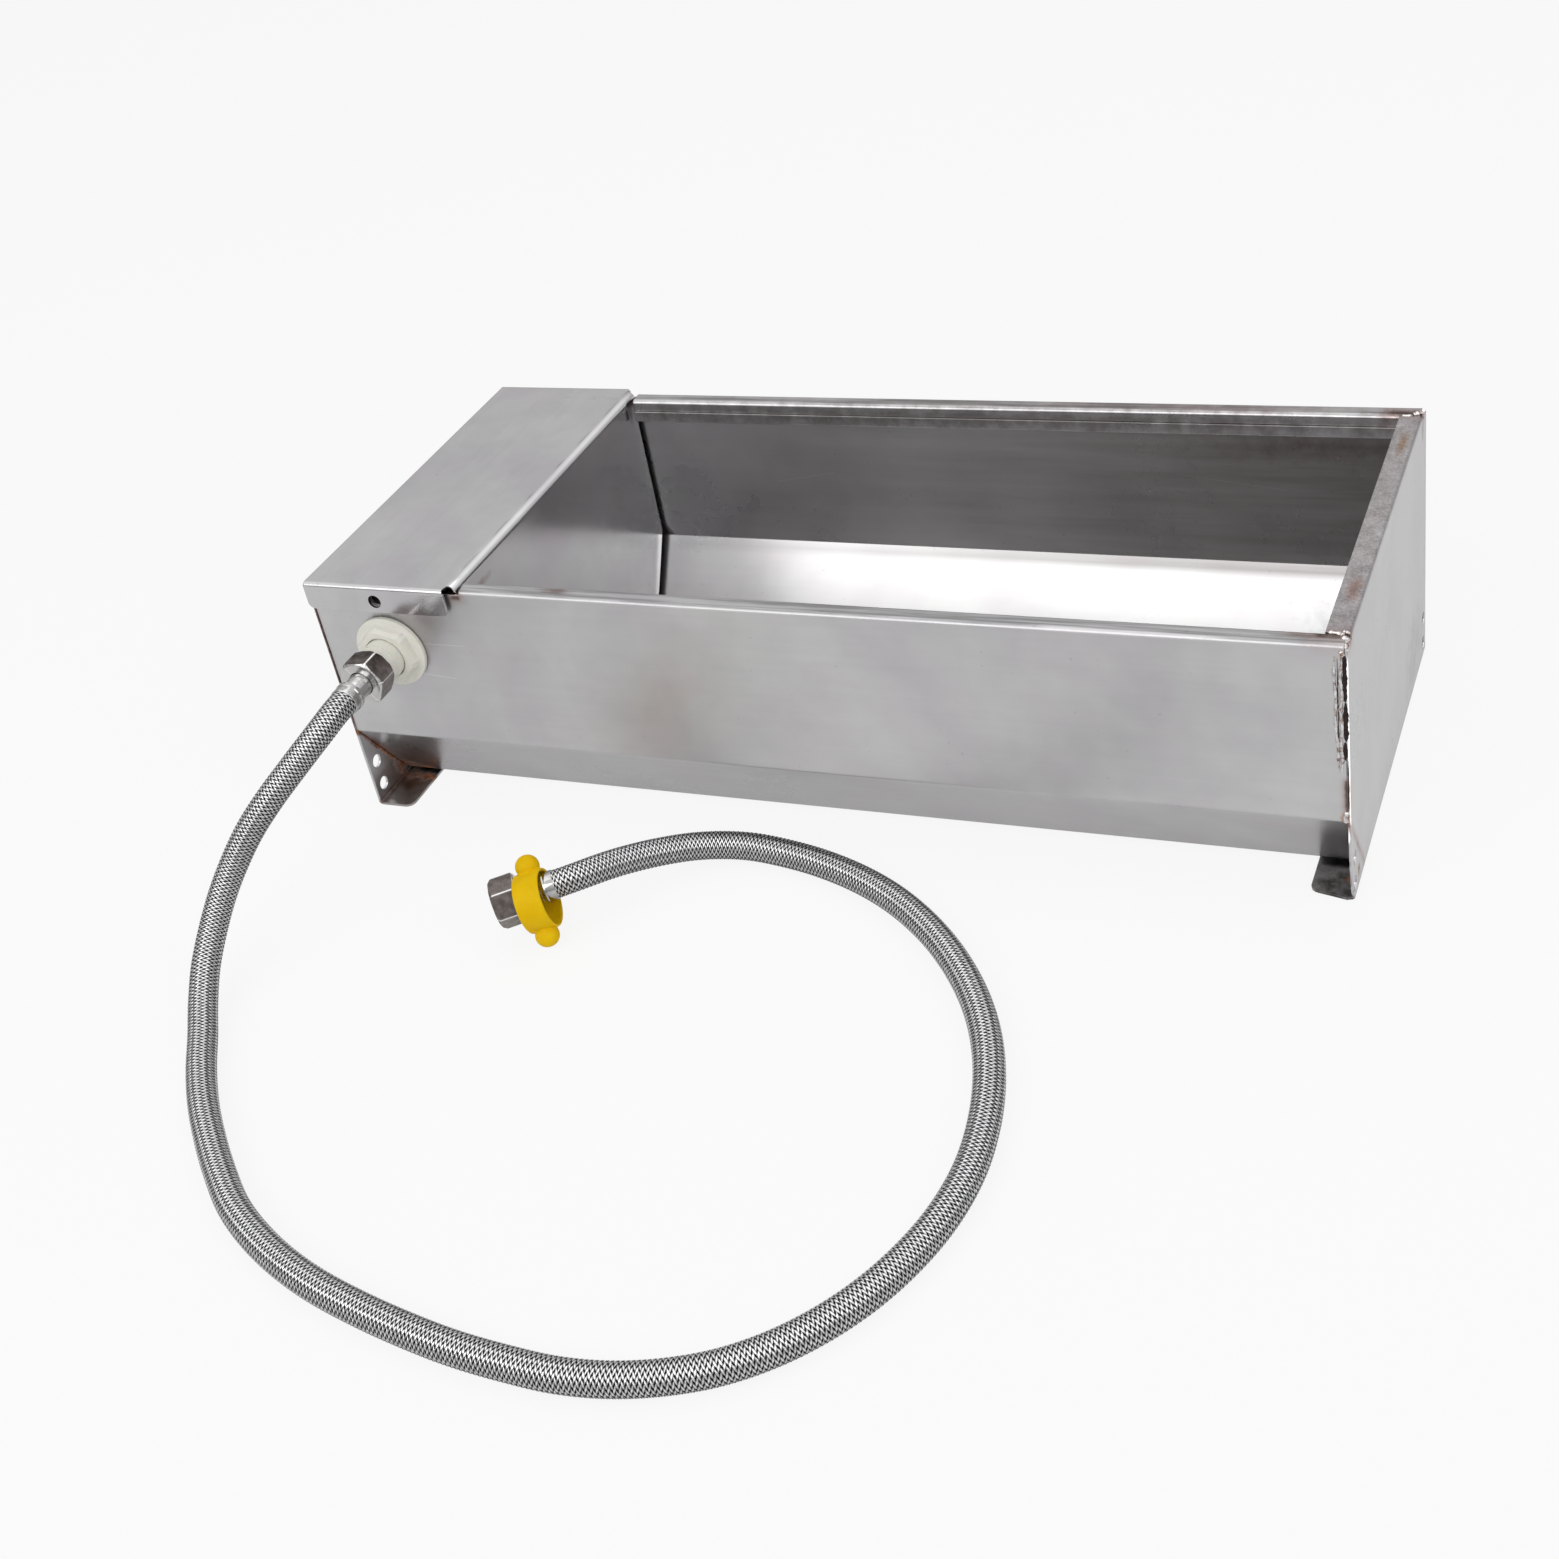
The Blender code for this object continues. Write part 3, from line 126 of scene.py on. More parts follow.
CROSSING_STEP = 0.00103
STRAND_WIDTH = 0.00152
STRAND_RADIUS = 0.00652
STRAND_WAVE = 0.00027
STRAND_CROWN = 0.00034
CORE_RADIUS = 0.0060
CORE_SIDES = 24
HOSE_IN_FERRULE = 0.006
SUPPLY_HOSE_START = 0.0301


def set_camera():
    """The camera that was worked out from the straight edges of the photograph."""
    place = (0.38436, -0.82678, 0.61209)
    right = Vector((0.914351, 0.368608, -0.167600))
    down = Vector((0.087317, -0.583657, -0.807292))
    ahead = Vector((-0.395396, 0.723514, -0.565853))
    data = bpy.data.cameras.new("camera")
    data.lens, data.sensor_width = 49.64, 36
    data.shift_x, data.shift_y = 0.0028, 0.0024
    data.clip_start, data.clip_end = 0.01, 50
    camera = bpy.data.objects.new("camera", data)
    bpy.context.scene.collection.objects.link(camera)
    camera.matrix_world = Matrix.Translation(place) @ Matrix((right, -down, -ahead)).transposed().to_4x4()
    bpy.context.scene.camera = camera


set_camera()


# Meshes from arrays
def mesh_object(name, points, quads, sharp=40):
    """An object with these points and four-cornered faces, sharp where they meet at over sharp degrees."""
    mesh = bpy.data.meshes.new(name)
    mesh.vertices.add(len(points))
    mesh.vertices.foreach_set("co", np.asarray(points, np.float32).ravel())
    mesh.loops.add(quads.size)
    mesh.loops.foreach_set("vertex_index", quads.astype(np.int32).ravel())
    mesh.polygons.add(len(quads))
    mesh.polygons.foreach_set("loop_start", np.arange(0, quads.size, 4, dtype=np.int32))
    mesh.update(calc_edges=True)
    mesh.shade_smooth()
    mesh.set_sharp_from_angle(angle=math.radians(sharp))
    obj = bpy.data.objects.new(name, mesh)
    bpy.context.scene.collection.objects.link(obj)
    return obj


def grid_quads(rows, columns, wrap_rows=False, wrap_columns=False, first=0):
    """Corner numbers of the faces of a grid: (i, j), (i+1, j), (i+1, j+1), (i, j+1)."""
    i, j = np.meshgrid(
        np.arange(rows - (not wrap_rows)), np.arange(columns - (not wrap_columns)), indexing="ij"
    )
    i, j = i.ravel(), j.ravel()
    below, beside = (i + 1) % rows, (j + 1) % columns
    corners = [i * columns + j, below * columns + j, below * columns + beside, i * columns + beside]
    return np.stack(corners, axis=1) + first


@contextmanager
def editing(mesh):
    """The mesh as a shape that bmesh can work on, written back at the end."""
    shape = bmesh.new()
    shape.from_mesh(mesh)
    yield shape
    shape.to_mesh(mesh)
    shape.free()


def weld_points(obj, distance=1e-6):
    """Merges points that coincide, and turns the faces of a closed surface outwards."""
    with editing(obj.data) as shape:
        bmesh.ops.remove_doubles(shape, verts=shape.verts, dist=distance)
        bmesh.ops.dissolve_degenerate(shape, dist=distance / 10, edges=shape.edges)
        bmesh.ops.recalc_face_normals(shape, faces=shape.faces)
    return obj


def finish_piece(obj, material, *replaced, body="trough"):
    """Gives a piece its material, its body and the CAD nodes that it stands for."""
    obj.data.materials.clear()
    obj.data.materials.append(material)
    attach(obj, body)
    if replaced:
        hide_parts(*replaced)
    return obj


def give_thickness(obj, even=False):
    """Turns a surface into sheet, half of its thickness to each side, with its cut edges eased."""
    skin = obj.modifiers.new("sheet", "SOLIDIFY")
    skin.thickness, skin.offset, skin.use_even_offset = SHEET, 0, even
    ease = obj.modifiers.new("edges", "BEVEL")
    ease.width, ease.segments, ease.use_clamp_overlap = EDGE_ROUNDING, 2, True
    ease.limit_method, ease.angle_limit = "ANGLE", math.radians(50)


def fillet(points, radius, steps=BEND_STEPS):
    """A line with its corners turned into arcs, each centred on the bisector of its corner."""
    points = np.asarray(points, float)
    line = [points[:1]]
    for before, corner, after in zip(points, points[1:], points[2:]):
        back, on = before - corner, after - corner
        reach = min(np.linalg.norm(back), np.linalg.norm(on)) / 2
        back, on = back / np.linalg.norm(back), on / np.linalg.norm(on)
        half = math.acos(float(np.clip(back @ on, -1, 1))) / 2
        leg = min(radius / math.tan(half), reach)
        centre = corner + (back + on) / np.linalg.norm(back + on) * leg / math.cos(half)
        start, end = corner + back * leg - centre, corner + on * leg - centre
        sweep = math.atan2(start[0] * end[1] - start[1] * end[0], start @ end)
        turn = np.linspace(0, sweep, steps + 1)
        x = start[0] * np.cos(turn) - start[1] * np.sin(turn)
        y = start[0] * np.sin(turn) + start[1] * np.cos(turn)
        line.append(centre + np.stack([x, y], axis=1))
    line = np.concatenate(line + [points[-1:]])
    apart = np.linalg.norm(np.diff(line, axis=0), axis=1) > 1e-6
    return line[np.concatenate([[True], apart])]


def travelled(line):
    """Distance from the line's start to each of its points."""
    return np.concatenate([[0], np.cumsum(np.linalg.norm(np.diff(line, axis=0), axis=1))])


def read_at(line, stops):
    """The line's points at these distances from its start."""
    gone = travelled(line)
    return np.stack([np.interp(stops, gone, column) for column in line.T], axis=1)


def read_every(line, step):
    """The line's points about one step apart."""
    length = travelled(line)[-1]
    return read_at(line, np.linspace(0, length, round(length / step) + 1))


def supported(stops, spacing=0.012):
    """Stops with one more near each end of a long stretch, and the stretch shared out between them."""
    result = [stops[:1]]
    for start, end in zip(stops, stops[1:]):
        if end - start > 4 * SUPPORT:
            inner = np.linspace(start + SUPPORT, end - SUPPORT, 2 + int((end - start) / spacing))
            result.append(inner)
        result.append([end])
    return np.concatenate(result)


def grid_lines(places, spots):
    """Sorted places, where those within half of a hole's centre give way to eight even steps across it."""
    places = np.asarray(places, float)
    for centre, half in spots:
        places = places[abs(places - centre) >= half]
    places = np.concatenate([places, *(centre + half * ACROSS_HOLE for centre, half in spots)])
    places = np.unique(np.round(places, 7))
    return places[np.concatenate([[True], np.diff(places) > 2e-6])]


def hole_rings(centre_s, centre_t, radius, half):
    """Four rings of 32 points: circle + k (square - circle), with k from 0 to 1."""
    one, run = np.ones(8), ACROSS_HOLE[:-1]
    edge = np.stack([np.concatenate([run, one, -run, -one]), np.concatenate([-one, run, one, -run])], axis=1)
    angle = np.arctan2(edge[:, 1], edge[:, 0])
    circle = radius * np.stack([np.cos(angle), np.sin(angle)], axis=1)
    rings = circle + (half * edge - circle) * np.linspace(0, 1, 4)[:, None, None]
    return rings + np.array([centre_s, centre_t])


def sheet_metal(name, line, stations, place, holes=(), keep=None, trim=None, thick=True, extra=()):
    """Bent sheet: its point (s, t) is place(the section s metres along its line, the station t).

    Each hole (s, t, radius, half) takes a square of cells out and fills it with rings. keep says
    which cells stay, trim moves s and t at the edges, and extra holds more places along the line.
    """
    line = np.asarray(line, float)
    stops = travelled(line)
    s = grid_lines(np.concatenate([supported(stops), extra]), [(hole[0], hole[3]) for hole in holes])
    t = grid_lines(stations, [(hole[1], hole[3]) for hole in holes])
    cell_s, cell_t = np.meshgrid((s[1:] + s[:-1]) / 2, (t[1:] + t[:-1]) / 2, indexing="ij")
    stays = np.ones(cell_s.shape, bool) if keep is None else keep(cell_s, cell_t)
    for centre_s, centre_t, _, half in holes:
        stays &= ~((abs(cell_s - centre_s) < half) & (abs(cell_t - centre_t) < half))
    found = [np.stack(np.meshgrid(s, t, indexing="ij"), axis=-1).reshape(-1, 2)]
    quads = [grid_quads(len(s), len(t))[stays.ravel()]]
    count = len(found[0])
    for hole in holes:
        rings = hole_rings(*hole)
        quads.append(grid_quads(*rings.shape[:2], wrap_columns=True, first=count))
        found.append(rings.reshape(-1, 2))
        count += len(found[-1])
    all_s, all_t = np.concatenate(found).T
    if trim:
        all_s, all_t = trim(all_s, all_t)
    obj = mesh_object(name, place(read_at(line, all_s), all_t), np.concatenate(quads))
    weld_points(obj, 2e-6)
    with editing(obj.data) as shape:
        bmesh.ops.delete(shape, geom=[v for v in shape.verts if not v.link_faces], context="VERTS")
    if thick:
        give_thickness(obj)
    return obj


def turned(name, profile, turn=None, steps=96, radius_at=None, wrap=True):
    """Profile (r, z) turned about Z: (r cos a, r sin a, z), moved by turn.

    radius_at(r, z, a) may change r. wrap says that the profile's end meets its start.
    """
    profile = np.asarray(profile, float)
    angle = np.linspace(0, 2 * math.pi, steps, endpoint=False)
    r, a = np.meshgrid(profile[:, 0], angle, indexing="ij")
    z = np.broadcast_to(profile[:, 1:2], r.shape)
    if radius_at:
        r = radius_at(r, z, a)
    points = np.stack([r * np.cos(a), r * np.sin(a), z], axis=-1).reshape(-1, 3)
    if turn is not None:
        turn = np.array(turn)
        points = points @ turn[:3, :3].T + turn[:3, 3]
    quads = grid_quads(len(profile), steps, wrap_rows=wrap, wrap_columns=True)
    return weld_points(mesh_object(name, points, quads, 32))


def point_values(obj, name, values):
    """A value at each of the mesh's points, for a material to read."""
    layer = obj.data.attributes.new(name, "FLOAT", "POINT")
    layer.data.foreach_set("value", np.asarray(values, np.float32).ravel())


def join(name, *objs):
    """One object out of several, their meshes put together."""
    with editing(objs[0].data) as shape:
        for obj in objs[1:]:
            shape.from_mesh(obj.data)
    for obj in objs[1:]:
        bpy.data.objects.remove(obj)
    objs[0].name = objs[0].data.name = name
    objs[0].data.shade_smooth()
    return objs[0]


# Materials
def add(tree, kind, values=None, **settings):
    """A shader node with its settings made and its sockets set or linked."""
    made = tree.nodes.new("ShaderNode" + kind)
    for name, value in settings.items():
        setattr(made, name, value)
    for socket, value in (values or {}).items():
        if isinstance(value, bpy.types.NodeSocket):
            tree.links.new(value, made.inputs[socket])
        else:
            made.inputs[socket].default_value = value
    return made


def new_material(name):
    """A material with its node tree, its shader and the Object coordinates."""
    made = bpy.data.materials.new(name)
    made.use_nodes = True
    tree = made.node_tree
    return made, tree, tree.nodes["Principled BSDF"], add(tree, "TexCoord").outputs["Object"]


def noise(tree, coordinates, scale, detail=3, roughness=0.5, stretch=(1, 1, 1)):
    """Noise of so many bumps per metre, drawn out by stretch."""
    mapped = add(tree, "Mapping", {"Vector": coordinates, "Scale": stretch}).outputs[0]
    values = {"Vector": mapped, "Scale": scale, "Detail": detail, "Roughness": roughness}
    return add(tree, "TexNoise", values).outputs["Fac"]


def calc(tree, operation, *values):
    """One sum on values or sockets."""
    return add(tree, "Math", dict(enumerate(values)), operation=operation).outputs[0]


def times(tree, product, *factors):
    """The product of values or sockets."""
    for factor in factors:
        product = calc(tree, "MULTIPLY", product, factor)
    return product


def ramp(tree, factor, *stops):
    """Colours along a factor: (place, colour) pairs."""
    made = add(tree, "ValToRGB", {"Fac": factor})
    spots = made.color_ramp.elements
    while len(spots) < len(stops):
        spots.new(0.5)
    for spot, (at, colour) in zip(spots, stops):
        spot.position = at
        spot.color = (*colour, 1)
    return made.outputs["Color"]


def spread(tree, factor, low, high, to_low=0.0, to_high=1.0):
    """The factor's range low..high carried over to to_low..to_high, held at its ends."""
    values = {"Value": factor, 1: low, 2: high, 3: to_low, 4: to_high}
    return add(tree, "MapRange", values, clamp=True).outputs["Result"]


def blend_colours(tree, factor, first, second, mode="MIX"):
    """The first colour with the second one mixed in or multiplied by it, as far as factor says."""
    made = add(tree, "Mix", data_type="RGBA", blend_type=mode)
    for socket, value in ((0, factor), (6, first), (7, second)):
        if isinstance(value, bpy.types.NodeSocket):
            tree.links.new(value, made.inputs[socket])
        else:
            made.inputs[socket].default_value = (*value, 1) if socket > 0 else value
    return made.outputs[2]


def distance_to_line(tree, point, start, end):
    """Length of p - (a + k (b - a)), where k = (p - a).(b - a) / |b - a|^2 is kept within 0..1."""
    along = end - start
    away = add(tree, "VectorMath", {0: point, 1: start}, operation="SUBTRACT").outputs[0]
    dot = add(tree, "VectorMath", {0: away, 1: along / along.length_squared}, operation="DOT_PRODUCT")
    share = add(tree, "Math", {0: dot.outputs["Value"], 1: 1.0}, operation="MULTIPLY", use_clamp=True)
    nearest = add(tree, "VectorMath", {0: along, "Scale": share.outputs[0]}, operation="SCALE").outputs[0]
    rest = add(tree, "VectorMath", {0: away, 1: nearest}, operation="SUBTRACT").outputs[0]
    return add(tree, "VectorMath", {0: rest}, operation="LENGTH").outputs["Value"]


def tinted(tree, amount, colour, tint):
    """The colour, multiplied by the tint as far as amount says."""
    return blend_colours(tree, amount, colour, blend_colours(tree, 1.0, colour, tint, "MULTIPLY"))


def shade(tree, shader, colour, gloss, metal=0.0, normal=None):
    """Gives the shader its colour, roughness, metal share and normal, each a value or a socket."""
    sockets = {"Base Color": colour, "Roughness": gloss, "Metallic": metal, "Normal": normal}
    for name, value in sockets.items():
        if isinstance(value, bpy.types.NodeSocket):
            tree.links.new(value, shader.inputs[name])
        elif value is not None:
            shader.inputs[name].default_value = value


def bump(tree, height, distance, strength=1.0, under=None):
    """A normal that follows the height, on top of the normal under it."""
    values = {"Height": height, "Distance": distance, "Strength": strength}
    if under is not None:
        values["Normal"] = under
    return add(tree, "Bump", values).outputs["Normal"]


WALL = HALF_WIDTH
SHIFT = Vector((0, TROUGH_Y, 0))
FRONT, BACK = TROUGH_Y - WALL, TROUGH_Y + WALL
# Weld seams, each with how far its colours reach, and one line of painted shade along the left foot's fold
SEAMS_AND_FOLD_SHADE = [
    ((0.2485, -WALL, 0.068), (0.2485, -WALL, 0.045), 0.45),
    ((0.249, -WALL, 0.045), (0.249, -0.075, 0.004), 0.5),
    ((0.238, -WALL + 0.007, 0.135), (0.2495, -WALL + 0.007, 0.135), 1.3),
    ((0.236, WALL - 0.007, 0.135), (0.2495, WALL - 0.007, 0.135), 1.3),
    ((0.249, WALL, 0.134), (0.249, WALL, 0.045), 0.5),
    ((-0.2495, -WALL, 0.124), (-0.2495, -WALL, 0.045), 0.35),
    # Painted shade along the left foot's fold, which dims the fold's highlight.
    ((-0.2494, -WALL, 0.0010), (-0.2494, -0.070, 0.0010), 0.5),
    ((-0.249, WALL, 0.130), (-0.249, WALL, 0.045), 0.4),
    ((-0.1667, -WALL, 0.1315), (-0.164, -WALL, 0.1315), 0.8),
    ((-0.1667, WALL, 0.1315), (-0.164, WALL, 0.1315), 0.8),
]
# Scratches: two on the skirt, two on the wall beside the nut, two in the basin
SCRATCHES = [
    ((-0.1922, -SKIRT_FACE, 0.1227), (-0.1846, -SKIRT_FACE, 0.1285), 1),
    ((-0.1805, -SKIRT_FACE, 0.1240), (-0.1765, -SKIRT_FACE, 0.1275), 1),
    ((-0.1918, -WALL, 0.1038), (-0.1685, -WALL, 0.1040), 0.7),
    ((-0.1986, -WALL, 0.0861), (-0.1782, -WALL, 0.0846), 0.7),
    ((-0.0900, WALL - SHEET, 0.0840), (-0.0560, WALL - SHEET, 0.0905), 0.6),
    ((0.1300, WALL - SHEET, 0.0960), (0.1850, WALL - SHEET, 0.0890), 0.6),
]
# Rusted places
RUST = [
    ((-0.2488, -WALL + 0.001, 0.046), (-0.2488, -0.078, 0.0075), 0.42),
    ((-0.2470, -0.0765, 0.0065), (-0.2310, -0.0750, 0.0035), 0.9),
    ((-0.2485, -0.0800, 0.0110), (-0.2440, -0.0770, 0.0040), 1.6),
    ((-0.2420, -0.0790, 0.0012), (-0.2310, -0.0780, 0.0012), 1.1),
    ((0.2480, -WALL - 0.001, 0.0505), (0.2480, -WALL + 0.001, 0.0465), 0.55),
    ((0.2480, -0.088, 0.0100), (0.2462, -0.086, 0.0015), 0.8),
]
# Soft stains and patches of painted shade: middle, reach along x, y and z, colour, strength
STAINS_AND_PAINTED_SHADE = [
    # Painted shade in the wall's screw hole and around it.
    ((VALVE_X, -WALL, 0.1288), (0.0090, 0.0016, 0.0068), (0.05, 0.05, 0.05), 1.0),
    # Painted shade on the back rim's lip.
    ((0.0400, WALL - 0.0100, 0.1280), (0.60, 0.0040, 0.010), (0.40, 0.38, 0.37), 0.9),
    # Painted reflection of the right panel in the basin, over a smudge that is there too.
    ((0.2250, 0.068, 0.0250), (0.045, 0.040, 0.035), (0.60, 0.60, 0.59), 0.8),
    ((-0.1850, -WALL, 0.1185), (0.011, 0.004, 0.009), (0.70, 0.64, 0.62), 0.35),
    # Painted shadow on the wall under the skirt's lower edge.
    ((-0.2100, -WALL, 0.1212), (0.042, 0.003, 0.0010), (0.58, 0.55, 0.54), 0.6),
    ((-0.1130, -WALL + 0.006, 0.135), (0.012, 0.004, 0.002), (0.40, 0.27, 0.24), 0.75),
    ((0.2290, -WALL + 0.007, 0.135), (0.016, 0.005, 0.002), (0.55, 0.42, 0.36), 0.7),
    ((-0.1650, -0.080, 0.1255), (0.003, 0.014, 0.003), (0.50, 0.38, 0.33), 0.6),
    ((0.1500, WALL - 0.005, 0.135), (0.110, 0.006, 0.002), (0.72, 0.60, 0.56), 0.7),
    ((0.1900, WALL - 0.0036, 0.1120), (0.080, 0.0042, 0.012), (0.42, 0.31, 0.24), 0.6),
    # Painted shade over the back rim's top.
    ((0.0300, WALL - 0.005, 0.135), (0.230, 0.006, 0.002), (0.66, 0.62, 0.61), 0.8),
    ((0.2448, 0.066, 0.135), (0.0035, 0.017, 0.004), (0.66, 0.47, 0.30), 0.85),
    ((0.2448, -0.060, 0.135), (0.0045, 0.015, 0.004), (0.66, 0.44, 0.36), 0.8),
    # The right foot made darker, under the slope.
    ((0.2410, -0.092, 0.0000), (0.030, 0.040, 0.004), (0.16, 0.145, 0.135), 1.0),
    ((-0.2410, -0.092, 0.0000), (0.030, 0.040, 0.004), (0.60, 0.53, 0.48), 1.0),
]


def nearest_line(tree, place, lines):
    """Distance to the nearest of the lines, each shrunk by its own reach."""
    nearest = None
    for start, end, reach in lines:
        far = distance_to_line(tree, place, Vector(start) + SHIFT, Vector(end) + SHIFT)
        far = calc(tree, "DIVIDE", far, reach)
        nearest = far if nearest is None else calc(tree, "MINIMUM", nearest, far)
    return nearest


def trough_marks_and_shade(tree, place, colour, gloss):
    """Streaky painted shade on the back wall's inside, rim tops darkened in streaks with painted shade,
    painted shade on the basin's floor and slopes, and a rougher front.
    """
    parts = add(tree, "SeparateXYZ", {0: place}).outputs
    x, y, z = parts["X"], parts["Y"], parts["Z"]
    # Painted shade: the back wall's inside darkens towards the right, in horizontal streaks.
    back_wall_painted_shade = times(
        tree, spread(tree, y, BACK - 0.0009, BACK - 0.0007, 1.0, 0.0),
        spread(tree, y, BACK - 0.006, BACK - 0.0035), spread(tree, z, 0.1325, 0.1305),
        spread(tree, x, -0.16, 0.24, 0.10, 0.84),
        spread(tree, noise(tree, place, 60, 4, 0.6, (0.06, 1, 1)), 0.3, 0.7, 0.7, 1.15),
    )
    colour = blend_colours(tree, back_wall_painted_shade, colour, (0.12, 0.108, 0.10))
    # Rim tops darkened in streaks along x: real streaks, deepened as painted shade.
    rim_top = spread(tree, z, 0.1338, 0.1346)
    rim_streaks_and_shade = spread(tree, noise(tree, place, 420, 4, 0.65, (0.03, 1, 1)), 0.40, 0.56, 0.48, 0.82)
    colour = tinted(tree, rim_top, colour, rim_streaks_and_shade)
    gloss = calc(tree, "MULTIPLY_ADD", rim_top, 0.12, gloss)
    wall = HALF_WIDTH - SHEET / 2
    lean = Vector((WALL_BEND_HEIGHT - FLOOR_HEIGHT - SHEET / 2, wall - FLOOR_HALF_WIDTH)).normalized()
    across = calc(tree, "ABSOLUTE", calc(tree, "SUBTRACT", y, TROUGH_Y))
    above = times(tree, calc(tree, "SUBTRACT", z, WALL_BEND_HEIGHT), lean.y)
    inward = calc(tree, "MULTIPLY_ADD", calc(tree, "SUBTRACT", wall, across), lean.x, above)
    low = times(
        tree, spread(tree, z, 0.044, 0.049, 1.0, 0.0), spread(tree, z, 0.0015, 0.0030),
        spread(tree, x, -0.2487, -0.2485),
    )
    # Painted shade on the basin's floor.
    basin_painted_shade = times(tree, spread(tree, inward, -0.0001, 0.0001), low)
    colour = tinted(tree, basin_painted_shade, colour, (0.83, 0.83, 0.825))
    # Painted shade on the slopes.
    under = times(tree, spread(tree, inward, 0.0001, -0.0001), low)
    colour = tinted(tree, under, colour, (0.84, 0.84, 0.84))
    outside = spread(tree, y, FRONT + 0.0006, FRONT + 0.0008, 0.11, 0.0)
    return colour, calc(tree, "ADD", gloss, outside)


def flap_painted_light(tree, place, colour, gloss):
    """Painted light: the flap that hangs into the basin is made brighter than the roof."""
    hanging = spread(tree, add(tree, "SeparateXYZ", {0: place}).outputs["X"], -0.1690, -0.1670)
    return tinted(tree, hanging, colour, (1.34, 1.34, 1.34)), gloss


def flange_marks(tree, place, colour, gloss):
    """The right panel's top flange, ground to a gritty grey rose."""
    grit = noise(tree, place, 1100, 3, 0.7)
    patch = noise(tree, place, 120, 3, 0.6)
    rose = ramp(
        tree, calc(tree, "MULTIPLY_ADD", grit, 0.6, times(tree, patch, 0.4)),
        (0.36, (0.17, 0.150, 0.148)), (0.50, (0.335, 0.308, 0.312)), (0.64, (0.50, 0.475, 0.485)),
    )
    top = spread(tree, add(tree, "SeparateXYZ", {0: place}).outputs["Z"], 0.1338, 0.1345)
    colour = blend_colours(tree, times(tree, top, 0.85), colour, rose)
    return colour, calc(tree, "MULTIPLY_ADD", top, 0.18, gloss)


def stains_and_painted_shade(tree, place, colour, ragged):
    """Each stain, and each patch of painted shade, fades from its middle, at a distance measured in its own
    reaches and made ragged.
    """
    for middle, reach, spot_tone, strength in STAINS_AND_PAINTED_SHADE:
        scale = tuple(1 / way for way in reach)
        shift = tuple(-at / way for at, way in zip(Vector(middle) + SHIFT, reach))
        mapped = add(tree, "Mapping", {"Vector": place, "Location": shift, "Scale": scale}).outputs[0]
        far = add(tree, "VectorMath", {0: mapped}, operation="LENGTH").outputs["Value"]
        amount = spread(tree, calc(tree, "MULTIPLY_ADD", ragged, 1.1, far), 0.75, 1.45, strength, 0.0)
        colour = tinted(tree, amount, colour, spot_tone)
    return colour


